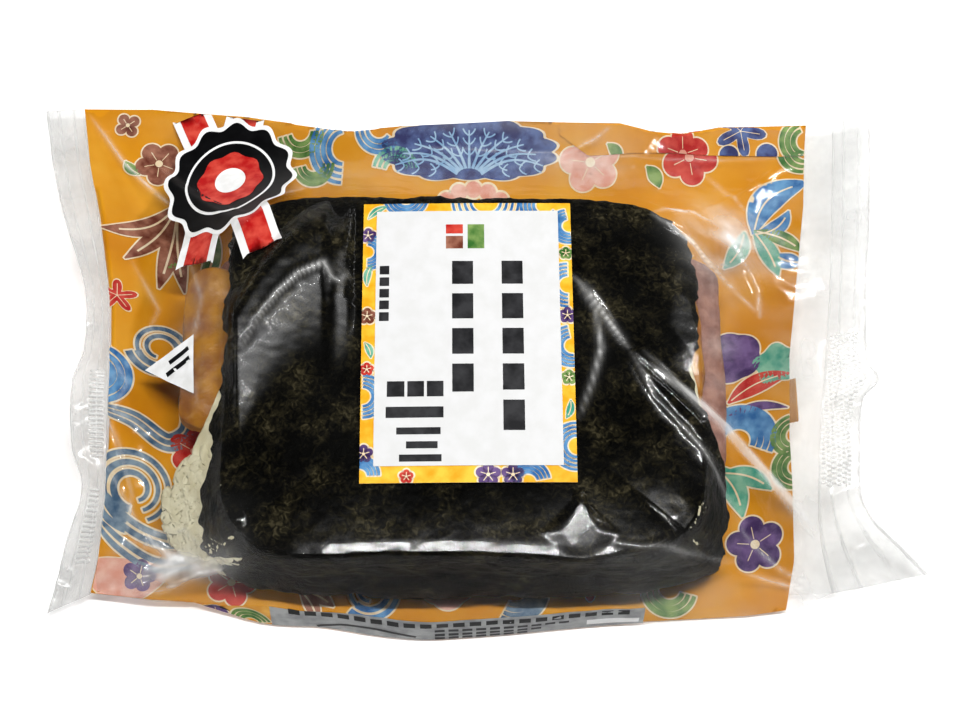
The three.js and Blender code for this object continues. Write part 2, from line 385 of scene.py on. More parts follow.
def mottled(name, stops, scale_mm, roughness, relief_mm=0.0, relief_scale_mm=1.0, **sockets):
    """A surface whose colour wanders between a few tones, with fine relief."""
    material, tree, output = new_material(name)
    tone = noise_node(tree, scale_mm, detail=5)
    inputs = {"Base Color": ramp(tree, tone.outputs["Fac"], stops).outputs["Color"], "Roughness": roughness}
    if relief_mm:
        grain = noise_node(tree, relief_scale_mm, detail=4, offset=(0.3, 0.1, 0.2))
        inputs["Normal"] = bump_of(tree, grain.outputs["Fac"], relief_mm)
    inputs.update({key.replace("_", " "): value for key, value in sockets.items()})
    shader = add_node(tree, "ShaderNodeBsdfPrincipled", inputs)
    tree.links.new(shader.outputs["BSDF"], output.inputs["Surface"])
    return material


# The film's mirror: index, its strength at a slant and at least, and the share and roughness of its softer sheens
FILM_INDEX, FILM_SLANT, FILM_LEAST = 1.3, 0.12, 0.015
SOFT_SHARE, SOFT_GLOSS, BROAD_GLOSS = 0.42, 0.22, 0.34


def clear_film(name, whiteness_scale, tint, roughness=0.06, whiteness_tone=(0.82, 0.815, 0.8, 1)):
    """Thin glossy film: it mirrors more at a slant and is faintly milky in soft patches, most where the mesh's
    whiteness says. On the upper film that whiteness also holds painted highlights along creases, on thin lines and in
    bright patches.
    """
    material, tree, output = new_material(name)
    cloud = noise_node(tree, 14, detail=3)
    patchy = add_node(tree, "ShaderNodeMapRange", {
        "Value": cloud.outputs["Fac"], "From Min": 0.35, "From Max": 0.7, "To Min": whiteness_scale * 0.5, "To Max": whiteness_scale * 1.7})
    # The mesh's whiteness: the film's haze, and on the upper film painted highlights as well
    marked_whiteness = add_node(tree, "ShaderNodeAttribute", attribute_name="whiteness")
    amount = add_node(tree, "ShaderNodeMath", {
        0: patchy.outputs["Result"], 1: marked_whiteness.outputs["Fac"]}, operation="MULTIPLY")
    through = add_node(tree, "ShaderNodeBsdfTransparent", {"Color": tint})
    whiteness = add_node(tree, "ShaderNodeBsdfDiffuse", {"Color": whiteness_tone})
    body = add_node(tree, "ShaderNodeMixShader", {
        0: amount.outputs["Value"], 1: through.outputs["BSDF"], 2: whiteness.outputs["BSDF"]})
    crumple = noise_node(tree, 3.5, detail=2)
    normal = bump_of(tree, crumple.outputs["Fac"], 0.05)
    sharp = add_node(tree, "ShaderNodeBsdfGlossy", {"Color": (1, 1, 1, 1), "Roughness": roughness, "Normal": normal})
    soft = add_node(tree, "ShaderNodeBsdfGlossy", {
        "Color": (1, 1, 1, 1), "Roughness": SOFT_GLOSS, "Normal": normal}, distribution="BECKMANN")
    clear = add_node(tree, "ShaderNodeMixShader", {0: SOFT_SHARE, 1: sharp.outputs["BSDF"], 2: soft.outputs["BSDF"]})
    broad = add_node(tree, "ShaderNodeBsdfGlossy", {
        "Color": (1, 1, 1, 1), "Roughness": BROAD_GLOSS, "Normal": normal}, distribution="BECKMANN")
    clings = add_node(tree, "ShaderNodeAttribute", attribute_name="cling")
    gloss = add_node(tree, "ShaderNodeMixShader", {
        0: clings.outputs["Fac"], 1: clear.outputs["Shader"], 2: broad.outputs["BSDF"]})
    slant = add_node(tree, "ShaderNodeFresnel", {"IOR": FILM_INDEX, "Normal": normal})
    mirror = add_node(tree, "ShaderNodeMath", {
        0: slant.outputs["Fac"], 1: FILM_SLANT, 2: FILM_LEAST}, operation="MULTIPLY_ADD")
    whole = add_node(tree, "ShaderNodeMixShader", {
        0: mirror.outputs["Value"], 1: body.outputs["Shader"], 2: gloss.outputs["Shader"]})
    tree.links.new(whole.outputs["Shader"], output.inputs["Surface"])
    return material


PRINT_ROUGH, PRINT_SHINE = 0.45, 0.12
INK_TONES = {
    "pale": ((222, 200, 164), (236, 222, 196)),
    "blue": ((48, 104, 160), (112, 160, 200)),
    "indigo": ((44, 48, 100), (92, 112, 160)),
    "slate": ((70, 98, 126), (140, 158, 172)),
    "teal": ((60, 150, 130), (140, 190, 165)),
    "green": ((60, 110, 50), (140, 165, 100)),
    "brown": ((110, 58, 44), (168, 120, 100)),
    "red": ((176, 28, 28), (206, 84, 70)),
    "pink": ((214, 150, 130), (228, 186, 170)),
    "purple": ((70, 48, 96), (122, 98, 146)),
    "black": ((8, 8, 10), (18, 18, 20)),
    "white": ((226, 226, 224), (240, 240, 240)),
    "grey": ((142, 143, 144), (174, 175, 175)),
    "ochre": ((226, 164, 30), (240, 196, 70)),
    "orange": ((206, 138, 34), (228, 176, 84)),
    "sky": ((130, 168, 204), (176, 202, 222)),
    "charcoal": ((34, 34, 36), (60, 60, 62)),
    "paper": ((213, 213, 212), (218, 218, 218)),
}


INKS = {}


def ink_of(ink):
    if ink not in INKS:
        low, high = (srgb(*tone) for tone in INK_TONES[ink])
        INKS[ink] = mottled("ink_" + ink, [(0.36, low), (0.64, high)], 3.2, PRINT_ROUGH, Specular_IOR_Level=PRINT_SHINE)
    return INKS[ink]


class Canvas:
    """Printed shapes on one surface. Points are flat complex numbers, and place() puts them on the surface."""

    def __init__(self, name, slot, place):
        self.name, self.slot, self.place, self.inks = name, slot, place, {}

    def add(self, ink, layer, grid):
        points, faces = self.inks.setdefault(ink, ([], []))
        rows, columns = grid.shape
        for sheet in self.place(grid.ravel(), layer):
            start = len(points)
            points.extend(sheet)
            faces.extend(grid_faces(rows, columns, start))

    def finish(self):
        for ink, (points, faces) in self.inks.items():
            new_piece(f"{self.name}_{ink}", points, faces, ink_of(ink))


HALO = 0.36
HALO_LAYER, UNDER_FILL, FILL_LAYER, LINE_LAYER = 1, 1.5, 2, 3


def strip(canvas, ink, layer, path, width, across=5):
    """A strip of ink along a path, whose width may change along it."""
    path = np.asarray(path, complex)
    width = np.broadcast_to(np.asarray(width, float), path.shape)
    run = np.gradient(path)
    side = 1j * run / np.maximum(np.abs(run), 1e-9)
    canvas.add(ink, layer, path[:, None] + side[:, None] * width[:, None] / 2 * np.linspace(-1, 1, across)[None, :])


def stroke(canvas, ink, path, width, halo=HALO):
    """A strip with a paler outline round it."""
    path = np.asarray(path, complex)
    width = np.broadcast_to(np.asarray(width, float), path.shape)
    strip(canvas, ink, FILL_LAYER, path, width)
    if halo:
        ahead = path[-1] - path[-2]
        behind = path[0] - path[1]
        longer = np.concatenate([[path[0] + halo * behind / abs(behind)], path, [path[-1] + halo * ahead / abs(ahead)]])
        wider = np.concatenate([[width[0] + halo], width + 2 * halo, [width[-1] + halo]])
        strip(canvas, "pale", HALO_LAYER, longer, wider)


def round_outline(angles):
    return np.ones_like(angles)


def blob(canvas, ink, centre, radius, outline=round_outline, turn=0.0, halo=HALO, layer=FILL_LAYER, stretch=1.0):
    """A closed shape about a centre, whose outline is a function of the angle."""
    angles = np.linspace(0, 2 * math.pi, 29 if radius < 3.5 else 49 if radius < 8 else 161)
    def rings(size, grow, start, count):
        edge = (size * outline(angles) + grow) * (np.cos(angles) + 1j * stretch * np.sin(angles)) * np.exp(1j * turn)
        return centre + np.linspace(start, 1, count)[:, None] * edge[None, :]
    count = 4 + int(radius if radius < 8 else 2.5 * radius)
    canvas.add(ink, layer, rings(radius, 0, 0, count))
    if halo:
        canvas.add("pale", HALO_LAYER, rings(radius, halo, 0.6, 2 + count // 3))


def bow_path(start, end, bend=0.0, count=16):
    """A bowed line between two points; bend is the bow's height as a share of the length, to the left."""
    t = np.linspace(0, 1, count)
    return start + (end - start) * (t + 1j * bend * np.sin(math.pi * t))


def leaf(canvas, ink, base, tip, width, bend=0.08, vein=0.3, halo=HALO):
    path = bow_path(base, tip, bend, 18)
    t = np.linspace(0, 1, 18)
    stroke(canvas, ink, path, width * np.sin(math.pi * np.clip(t, 0.02, 0.985)) ** 0.8, halo)
    if vein:
        strip(canvas, "pale", LINE_LAYER, path[1:-3], vein, across=2)


def blossom(canvas, ink, centre, radius, petals=5, turn=0.3, eye="pale"):
    for k in range(petals):
        reach = radius * np.exp(1j * (turn + 2 * math.pi * k / petals))
        blob(canvas, ink, centre + 0.58 * reach, 0.42 * radius)
        strip(canvas, "pale", LINE_LAYER, bow_path(centre + 0.2 * reach, centre + 0.62 * reach, 0, 4), 0.18, 2)
    blob(canvas, ink, centre, 0.4 * radius, halo=0)
    blob(canvas, eye, centre, 0.16 * radius, halo=0, layer=LINE_LAYER + 1)


def maple(canvas, ink, centre, radius, turn=0.0):
    blob(canvas, ink, centre, radius, lambda a: 0.32 + 0.68 * np.abs(np.cos(2.5 * a)) ** 1.6, turn)
    for k in range(5):
        way = np.exp(1j * (turn + 2 * math.pi * k / 5))
        strip(canvas, "pale", LINE_LAYER, bow_path(centre, centre + 0.75 * radius * way, 0, 5), 0.16, 2)


def arcs(canvas, ink, centre, radius, start, sweep, rings=3, width=0.9, halo=HALO):
    """Nested arcs, as water and pine boughs are drawn. Angles are in degrees."""
    angles = np.radians(start + sweep * np.linspace(0, 1, 26))
    widths = width * (0.5 + 0.5 * hump(np.linspace(0.1, 0.9, 26)))
    for k in range(rings):
        size = radius * (1 - 0.72 * k / rings)
        stroke(canvas, ink, centre + size * np.exp(1j * angles), widths, halo)


def swirl(canvas, ink, centre, radius, start, turns, width=0.9, gap=1.5, lines=2, hand=1):
    """Parallel lines that wind inward."""
    t = np.linspace(0, 1, 60)
    for k in range(lines):
        size = radius - gap * k - (radius - gap * lines) * 0.85 * t
        path = centre + size * np.exp(1j * hand * (math.radians(start) + 2 * math.pi * turns * t))
        stroke(canvas, ink, path, width * (1 - 0.55 * t), 0.4)


def stream(canvas, ink, points, lines=3, width=0.8, gap=1.4):
    """Parallel wavy lines through a few points."""
    path = line_points([(p.real, p.imag, 0) for p in points], 40)
    path = path[:, 0] + 1j * path[:, 1]
    side = 1j * np.gradient(path)
    side /= np.abs(side)
    taper = 0.35 + 0.65 * np.sqrt(hump(np.linspace(0.02, 0.98, 40)))
    for k in range(lines):
        stroke(canvas, ink, path + side * gap * (k - (lines - 1) / 2) * taper, width * taper, 0.4)


def pine_cloud(canvas, centre, half_width, half_height):
    """A scalloped cloud of pine boughs that fan out from its foot."""
    def outline(a):
        return 1 + 0.09 * np.abs(np.sin(7 * a)) - 0.2 * np.exp(-((a - 1.5 * math.pi) / 0.5) ** 2)
    blob(canvas, "indigo", centre, half_width, outline, stretch=half_height / half_width, halo=0.7)
    root = centre - 1j * half_height * 0.75
    for k in range(-5, 6):
        turn = math.pi / 2 - 0.27 * k
        edge = (half_width * math.cos(turn) + 1j * 1.55 * half_height * math.sin(turn)) * 0.92
        start = root + 0.16 * edge
        strip(canvas, "sky", LINE_LAYER, bow_path(start, root + edge, 0.03 * k, 14), 0.7 * np.linspace(1, 0.45, 14), 3)
        for twig in (0.45, 0.68, 0.88):
            foot = root + edge * twig
            for hand in (-1, 1):
                tip = foot + 2.1 * np.exp(1j * (np.angle(edge) + 0.75 * hand))
                strip(canvas, "sky", LINE_LAYER, bow_path(foot, tip, 0.1 * hand, 5), 0.34, 2)


# A tent of film over the block: its lower crest, its height there, and its reach on the near and the far side
TENT = {
    "crest": [
        (-46, 2), (-42.4, 9.2), (-38.5, 14.6), (-34.4, 18.8), (-29.2, 21.3), (-27.4, 17.6), (-25.8, 16.8),
        (-23.6, 19.6),
    ],
    "height": 3.2, "near_reach": 22, "far_reach": 18, "extra": 1.4,
}
# A small facet at the near shoulder
DIAMOND = {"x": 23.6, "far": -30.5, "near": -41.5, "half_x": 7, "height": 1.0}
# Sharp creases that catch the light: plan line, height and width
GLINTS = [
    (TENT["crest"], 0.8, 1.1),
    ([(22.5, 20), (25, 17.5), (29.5, 10), (34.5, 2.6)], 0.95, 1.7),
    ([(34.5, 2.6), (39.3, -7.6), (48.3, -17.7), (54, -25), (58, -30.6)], 0.45, 0.8),
    ([(58, -30.6), (63, -34), (67, -36.6), (73, -39.4)], 0.6, 0.8),
    ([(24, 18), (27.6, 11), (28.6, 3), (26.5, -5), (23.5, -13)], 0.6, 1.5),
    ([(37, 3), (48, -8), (59, -15), (70.9, -23.5), (76, -29)], 0.4, 0.9),
    ([(39, -1), (50, -11.5), (61, -18), (71.5, -27), (76, -32)], 0.35, 0.7),
    ([(40, 35.6), (48, 29.5), (56, 22.4), (63, 16.5)], 0.8, 0.9),
    ([(40, 35.6), (50, 39), (57, 38)], 0.7, 1.0),
    ([(57, 38), (61, 30), (63.6, 22), (63.6, 15)], 0.9, 1.1),
    ([(-70, -42), (-62, -41), (-55, -39.5), (-49.1, -40)], 1.1, 1.3),
    ([(-68, -37), (-60, -36), (-54, -37)], 0.9, 1.2),
    ([(-66, -39.5), (-60, -38.4), (-53, -38.5)], 0.8, 0.8),
    ([(-76, -34), (-70, -31), (-64, -33), (-58, -36.5)], 0.6, 0.7),
    ([(-80, 2), (-73, -12), (-70, -22), (-72, -34)], 0.5, 0.7),
    ([(-60, 30), (-56, 18), (-58, 4), (-55, -8)], 0.4, 0.7),
    ([(-79, -10.5), (-72, -22), (-68.8, -28.2), (-62, -35), (-55, -38)], 0.6, 0.9),
    ([(-72, -40), (-66, -30), (-58, -31), (-52, -37)], 0.4, 0.8),
    ([(-88, 75), (-78, 60), (-66, 47)], 0.7, 1.1),
    ([(-76, 8), (-72, 2), (-75, -4), (-66, -10)], 0.4, 0.8),
    ([(-74, 33), (-66, 18), (-70, 8), (-78, 2)], 0.35, 0.8),
    ([(30, -38.6), (36, -39.4), (45, -38.6), (54, -37), (59, -35.6)], 0.35, 0.8),
    ([(57, -37.8), (66, -39), (73, -41)], 0.6, 1.0),
]


def tent(points):
    """Height of a tent that falls away slowly on the near side of its lower crest, and rises a little beyond it."""
    xs, ys = np.array(TENT["crest"], float).T
    away = points[..., 1] - np.interp(points[..., 0], xs, ys)
    outside = np.maximum(np.maximum(xs[0] - points[..., 0], points[..., 0] - xs[-1]), 0)
    near = TENT["height"] * np.clip(1 + away / TENT["near_reach"], 0, 1) ** 1.7
    back = np.clip(away / TENT["far_reach"], 0, 1)
    held = 1 - np.clip((back - 0.4) / 0.6, 0, 1)
    far = TENT["height"] * held**2 * (3 - 2 * held) + TENT["extra"] * np.sin(math.pi * back)
    return np.where(away < 0, near, far) * np.exp(-((outside / 2.5) ** 2))


def diamond_facet(points):
    """A small facet of film at the near shoulder that slopes to the near side."""
    down = np.clip((DIAMOND["far"] - points[..., 1]) / (DIAMOND["far"] - DIAMOND["near"]), -0.4, 1)
    ramp = np.where(down < 0, 1 + down / 0.4, 1 - down)
    half_width = DIAMOND["half_x"] * (1 - np.abs(1.9 * np.clip(down, 0, 1) - 1.1) / 1.1) + 1.2
    across = np.clip(1.8 * (1 - np.abs(points[..., 0] - DIAMOND["x"]) / half_width), 0, 1)
    return DIAMOND["height"] * ramp * across


# Heights of the film's finer unevenness
RELIEF = {"tent_grain": 0.07, "swell": 0.8, "crumple": 0.35, "gather": 0.9}


def film_relief(grid, height_share):
    """How far the thin film stands off its plain form: glinting creases, gathers at the seals and crumples."""
    raised = tent(grid)
    relief = sum(ridge(grid, *glint) for glint in GLINTS) + raised + diamond_facet(grid)
    relief += RELIEF["tent_grain"] * noise_at(grid, 1.7, 4.4) * np.clip(raised, 0, 1)
    x, y = grid[..., 0], grid[..., 1]
    calm = np.where(RING["side"] == 0, 0.5, 1)
    relief += RELIEF["swell"] * noise_at(grid, 13, 3.1) * height_share * calm
    relief += RELIEF["crumple"] * (1 - 2 * np.abs(noise_at(grid, 6, 8.7))) * height_share * calm
    to_seal = np.minimum(np.abs(x - np.interp(y, *by_y(RIGHT_LINE))), np.abs(x - np.interp(y, *by_y(LEFT_LINE))))
    gathers = noise_at(grid, 4.2, 5.5, (0.22, 1, 0.2))
    relief += RELIEF["gather"] * gathers * np.exp(-to_seal / 11) * np.clip(to_seal / 3, 0, 1)
    return relief


CAP_ROWS, PANEL_ROWS, UNDER_ROWS = 70, 58, 40


def build_top_grid():
    cap_shares = 1 - (1 - np.arange(1, CAP_ROWS + 1) / CAP_ROWS) ** 1.35
    rows = [cap_row(share) for share in cap_shares]
    rows += [panel_row(i / PANEL_ROWS) for i in range(1, PANEL_ROWS + 1)]
    grid = np.array(rows)
    shares = np.concatenate([0.03 + 0.32 * cap_shares**8,
                             np.sqrt(hump(np.linspace(0.06, 1, PANEL_ROWS))) * 0.9 + 0.02])
    x, y = grid[..., 0], grid[..., 1]
    under_label = (np.abs(x - LABEL["x"]) < 24.5) & (np.abs(y - LABEL["y"]) < 33.5)
    centre = BADGE["centre"]
    from_badge = np.hypot(x - centre.real, (y - centre.imag) / BADGE["stretch"]) / BADGE["radius"]
    relief = np.where(under_label, 0, film_relief(grid, shares[:, None])) * np.clip((from_badge - 0.9) * 3, 0.04, 1)
    relief[-1] = 0
    return grid + grid_normals(grid, True) * relief[..., None]


def build_under_grid():
    rows = [under_row(i / UNDER_ROWS) for i in range(UNDER_ROWS + 1)]
    rows += [np.column_stack([RING["foot"] * share, np.full(len(RING["foot"]), FOOT["z"])])
             for share in np.linspace(0.9, 0.02, 12)]
    return np.array(rows)


TOP_GRID = build_top_grid()
UNDER_GRID = build_under_grid()


def tree_of(grid):
    rows, columns, _ = grid.shape
    return BVHTree.FromPolygons([tuple(p) for p in grid.reshape(-1, 3)], grid_faces(rows, columns, wrap=True))


TOP_TREE = tree_of(TOP_GRID)
UNDER_TREE = tree_of(UNDER_GRID)


def drop(tree, x, y):
    """Height of a sheet above a plan point."""
    hit = tree.ray_cast(Vector((x, y, 60)), Vector((0, 0, -1)))
    if hit[0] is None:
        hit = tree.find_nearest(Vector((x, y, 5)))
    return hit[0].z


def drops(tree, x, y):
    """Heights of a sheet above many plan points."""
    x, y = np.broadcast_arrays(x, y)
    return np.reshape([drop(tree, a, b) for a, b in zip(x.ravel(), y.ravel())], x.shape)


# Where the print ends: left and right as X by Y, near and far as Y by X
LEFT_LIMIT, RIGHT_LIMIT, NEAR_LIMIT, FAR_LIMIT = by_y(LEFT_LINE), by_y(PRINT_RIGHT), by_x(NEAR_LINE), by_x(FAR_LINE)
PRINT_STEP = 0.035


def clip_to_print(flat):
    y = np.clip(flat.imag, np.interp(flat.real, *NEAR_LIMIT) + 0.2, np.interp(flat.real, *FAR_LIMIT) - 0.2)
    x = np.clip(flat.real, np.interp(y, *LEFT_LIMIT) + 0.2, np.interp(y, *RIGHT_LIMIT))
    return x, y


def place_on_back(flat, layer):
    """Inside and outside of the lower film."""
    x, y = clip_to_print(flat)
    z = drops(UNDER_TREE, x, y)
    rise = 0.08 + PRINT_STEP * layer
    return np.stack([x, y, z + rise], 1), np.stack([x, y, z - rise], 1)


def place_on_top(flat, layer):
    """Outside of the upper film, seen from above."""
    y = np.minimum(flat.imag, np.interp(flat.real, *FAR_LIMIT) - 0.4)
    z = drops(TOP_TREE, flat.real, y)
    return (np.stack([flat.real, y, z + 0.12 + 2 * PRINT_STEP * layer], 1),)


def place_on_near(flat, layer):
    """Outside of the near panel: the flat point's second number is its height, held above the film's near edge."""
    edge_x, _, edge_z = np.array(NEAR_LINE).T
    heights = np.maximum(flat.imag, np.interp(flat.real, edge_x, edge_z) + 0.12)
    out = []
    for x, z in zip(flat.real, heights):
        hit = TOP_TREE.ray_cast(Vector((x, -70, z)), Vector((0, 1, 0)))
        y = hit[0].y if hit[0] is not None else TOP_TREE.find_nearest(Vector((x, -50, z)))[0].y
        out.append((x, y - 0.08 - PRINT_STEP * layer, z))
    return (np.array(out),)


def turn_to_label(flat):
    return flat * np.exp(1j * LABEL["turn"]) + complex(LABEL["x"], LABEL["y"])


def place_on_label(flat, layer):
    """Top of the label, held within its edges."""
    half_w, half_l = LABEL["width"] / 2, LABEL["length"] / 2
    turned = turn_to_label(np.clip(flat.real, -half_w, half_w) + 1j * np.clip(flat.imag, -half_l, half_l))
    z = top_height(turned.real, turned.imag) + LABEL["gap"] + LABEL["thickness"] + 0.02 + 0.02 * layer
    return (np.stack([turned.real, turned.imag, z], 1),)


FILM = clear_film("clear_film", 0.05, (0.95, 0.95, 0.945, 1))
SEAL_FILM = clear_film("seal_film", 0.26, (0.94, 0.94, 0.935, 1), 0.14, (0.66, 0.66, 0.65, 1))


# Whiteness strengths: along the glinting creases, partly the film's own stress whitening and partly painted highlight;
# on the fold; and on the painted highlight lines
CREASE_WHITENING_AND_GLINT, FOLD_MILK, GLINT_LINE_WHITE = 11, 7, 5
# Where the upper film is cloudier, and where white is painted on it as the glare of bright patches: centre, reach along
# X and Y, strength
HAZE_AND_GLARE_SPOTS = [
    (-66, -39, 14, 8, 3), (0, -53, 60, 4, 1.4), (58, -45, 26, 5, 2.4), (57, 33, 8, 9, 8), (59, 37, 4, 5, 11),
    (28, 60, 14, 8, 2.5),
    (-57, 12, 5, 16, 1.6), (54, 8, 4, 18, 1.6), (-58, -38, 8, 3, 11),
    (0, 71, 90, 3, 1.0), (74, 8, 9, 60, 1.4), (-30, 50, 14, 6, 1.5),
]
# Faint straight white lines painted on the upper film as highlights
GLINT_LINES = [
    [(28.6, 59.9), (50, 60.9), (79, 62.4)], [(-12, 63), (8, 60.5), (28, 61)], [(20, 58), (30, 66), (34, 70)],
    [(52, 60), (62, 46), (72, 38)], [(-50, 36), (-42, 44), (-30, 50)],
]
# The grey double layer of film that runs down to the near right corner: its line and half width
FOLD = ([(36.5, 1.5), (44, -4.5), (52.8, -11.4), (62, -17.6), (71.3, -25), (77, -31)], 1.5)


def film_haze_and_painted_glare(grid):
    """How white the film is at each point, as a factor on the material's whiteness scale: its haze, plus painted
    highlights on thin lines and in bright patches. Sharp creases are whitened, partly as the film's stress whitening
    and partly as painted highlight.
    """
    x, y = grid[..., 0], grid[..., 1]
    whiteness = np.full(x.shape, 0.06) + 3 * np.clip((x - np.interp(y, *RIGHT_LIMIT)) / 2, 0, 1)
    # Painted highlight along each glinting crease, over the film's stress whitening
    whiteness += sum(CREASE_WHITENING_AND_GLINT * ridge(grid, line, height, 0.35) for line, height, _ in GLINTS)
    # Painted highlight lines
    whiteness += sum(GLINT_LINE_WHITE * ridge(grid, line, 1, 0.3) for line in GLINT_LINES)
    line, half_width = FOLD
    whiteness += FOLD_MILK * np.clip(3 * (ridge(grid, line, 1, half_width) - 0.35), 0, 1)
    streaks = 1 + 1.1 * noise_at(grid, 7, 2.2, (0.5, 1.6, 0.4))
    # Haze, and painted glare in the strongest spots
    for cx, cy, rx, ry, strength in HAZE_AND_GLARE_SPOTS:
        whiteness += strength * np.maximum(streaks, 0.15) * np.exp(-(((x - cx) / rx) ** 2 + ((y - cy) / ry) ** 2))
    return whiteness


# Where the upper film clings and shines broadly, beside the tent: centre, reach along X and Y, strength
CLINGS = [(25, 11, 4, 7, 0.6), (23.6, -36, 6, 5, 0.5), (8, -40, 12, 1.5, 0.4)]


def film_cling(grid):
    """How far the film's sheen is broad rather than sharp at each point, 0 to 1."""
    x, y = grid[..., 0], grid[..., 1]
    cling = 0.9 * np.clip(tent(grid) / 1.2, 0, 1) * (1 - 0.9 * ridge(grid, TENT["crest"], 1, 1.2))
    for cx, cy, rx, ry, strength in CLINGS:
        cling += strength * np.exp(-(((x - cx) / rx) ** 2 + ((y - cy) / ry) ** 2))
    return np.minimum(cling, 0.9)


def build_film_top():
    rows, columns, _ = TOP_GRID.shape
    points = np.vstack([[[0, 0, top_height(0.0, 0.0)]], TOP_GRID.reshape(-1, 3)])
    faces = [(0, 1 + c, 1 + (c + 1) % columns) for c in range(columns)]
    faces += [tuple(reversed(face)) for face in grid_faces(rows, columns, 1, wrap=True)]
    piece = new_piece("film_top", points, faces, FILM)
    # The film's haze and its painted highlights
    mark(piece, "whiteness", np.concatenate([[0.06], film_haze_and_painted_glare(TOP_GRID).ravel()]))
    mark(piece, "cling", np.concatenate([[0], film_cling(TOP_GRID).ravel()]))
    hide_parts("bag")


# How milky a seal is: plain, more on a rib and on a weld's edge, whose width is a share of the seal's
SEAL_MILK = {"plain": 0.8, "rib": 2.4, "weld": 1.6, "weld_width": 0.012}


def build_right_margin():
    """The clear stretch of the lower film between the print and the right seal."""
    count, across = 90, 8
    outer = line_points(RIGHT_LINE, count)
    inner = np.array([(np.interp(y, *RIGHT_LIMIT), y) for y in outer[:, 1]])
    grid = np.zeros((across, count, 3))
    for r in range(across):
        t = r / (across - 1)
        grid[r, :, :2] = inner + (outer[:, :2] - inner) * t
        grid[r, :, 2] = drops(UNDER_TREE, *grid[r, :, :2].T)
    grid[-1] = outer
    piece = new_piece("film_right_margin", grid.reshape(-1, 3), grid_faces(across, count), SEAL_FILM)
    mark(piece, "whiteness", np.full(across * count, SEAL_MILK["plain"]))


# A seal's crimped ribs, its thickness, its waves, and the shares of its width where the weld's edges show whiter
SEAL = {"pitch": 1.0, "rib": 0.22, "thickness": 0.14, "wave": 1.0, "fold": 0.5, "welds": (0.02, 0.3, 0.68, 0.97)}


def build_seal(name, inner_line, cut_line, bands, seed):
    """A welded strip: two sheets in one, with crimped bands of fine ribs across part of its width."""
    count, across = 420, 34
    inner, outer = line_points(inner_line, count), line_points(cut_line, count)
    t = np.linspace(0, 1, across)
    grid = inner[None] + (outer - inner)[None] * t[:, None, None]
    crumple = SEAL["wave"] * noise_at(grid, 10, seed) + SEAL["fold"] * (1 - 2 * np.abs(noise_at(grid, 5, seed + 3)))
    crumple *= np.sqrt(hump(np.clip(t * 0.5 + 0.02, 0, 1)))[:, None]
    ribs = np.zeros((across, count))
    for t_low, t_high, y_low, y_high, cross in bands:
        y = grid[..., 1]
        inside = ((t >= t_low) & (t <= t_high))[:, None] & (y >= y_low) & (y <= y_high)
        wave = np.sin(2 * math.pi * y / SEAL["pitch"])
        if cross:
            wave = wave * np.sin(2 * math.pi * grid[..., 0] / (2.2 * SEAL["pitch"]))
        ribs += np.where(inside, wave, 0)
    grid[..., 2] += crumple + SEAL["rib"] * ribs
    lower = grid - np.array((0, 0, SEAL["thickness"]))
    points = np.vstack([grid.reshape(-1, 3), lower.reshape(-1, 3)])
    piece = new_piece(name, points, slab_faces(across, count, flip=True), SEAL_FILM)
    welds = sum(SEAL_MILK["weld"] * np.exp(-np.abs(t - line) / SEAL_MILK["weld_width"]) for line in SEAL["welds"])
    whiteness = SEAL_MILK["plain"] + SEAL_MILK["rib"] * np.clip(ribs, 0, 1) + welds[:, None]
    mark(piece, "whiteness", np.tile(whiteness.ravel(), 2))


BACK_SEAM = {"half_x": 72, "width": 10, "thickness": 0.6, "floor_gap": 0.06, "rib": 0.05, "rib_pitch": 1.4}


def build_back_seam():
    """The welded seam along the underside, a flat ribbon with fine ribs."""
    xs = np.linspace(-BACK_SEAM["half_x"], BACK_SEAM["half_x"], 410)
    ys = np.linspace(-0.5, 0.5, 7) * BACK_SEAM["width"]
    under = drops(UNDER_TREE, xs[None, :], ys[:, None])
    ribs = BACK_SEAM["rib"] * (1 + np.sin(2 * math.pi * xs / BACK_SEAM["rib_pitch"]))
    low = np.maximum(under - BACK_SEAM["thickness"] + ribs, BACK_SEAM["floor_gap"])
    sheets = [np.stack(np.broadcast_arrays(xs[None, :], ys[:, None], z), 2) for z in (under - 0.02, low)]
    new_piece("back_seam", np.vstack([sheet.reshape(-1, 3) for sheet in sheets]), slab_faces(len(ys), len(xs)),
              PRINTED)


def build_print_ground():
    """The orange printed sheet of the lower film."""
    across, count = 190, 120
    grid = np.zeros((count, across, 3))
    for r, y in enumerate(np.linspace(-52, 78, count)):
        left, right = np.interp(y, *LEFT_LIMIT), np.interp(y, *RIGHT_LIMIT)
        x = np.linspace(left, right, across)
        held = np.clip(y, np.interp(x, *NEAR_LIMIT) + 0.15, np.interp(x, *FAR_LIMIT) - 0.15)
        grid[r] = np.stack([x, held, drops(UNDER_TREE, x, held)], 1)
    new_piece("print_ground", grid.reshape(-1, 3), grid_faces(count, across), PRINTED)


PRINTED = mottled("printed_film", [(0.3, srgb(202, 134, 16)), (0.5, srgb(211, 146, 26)), (0.75, srgb(220, 163, 54))],
                  16, PRINT_ROUGH, Specular_IOR_Level=PRINT_SHINE)


# Contents
BLOCK = {"half_x": 54, "half_y": 41, "top": 33.4, "bottom": 0.7, "plan_power": 6.5, "top_power": 7, "low_power": 5}
NORI_ENDS = (-50.6, 49.8)


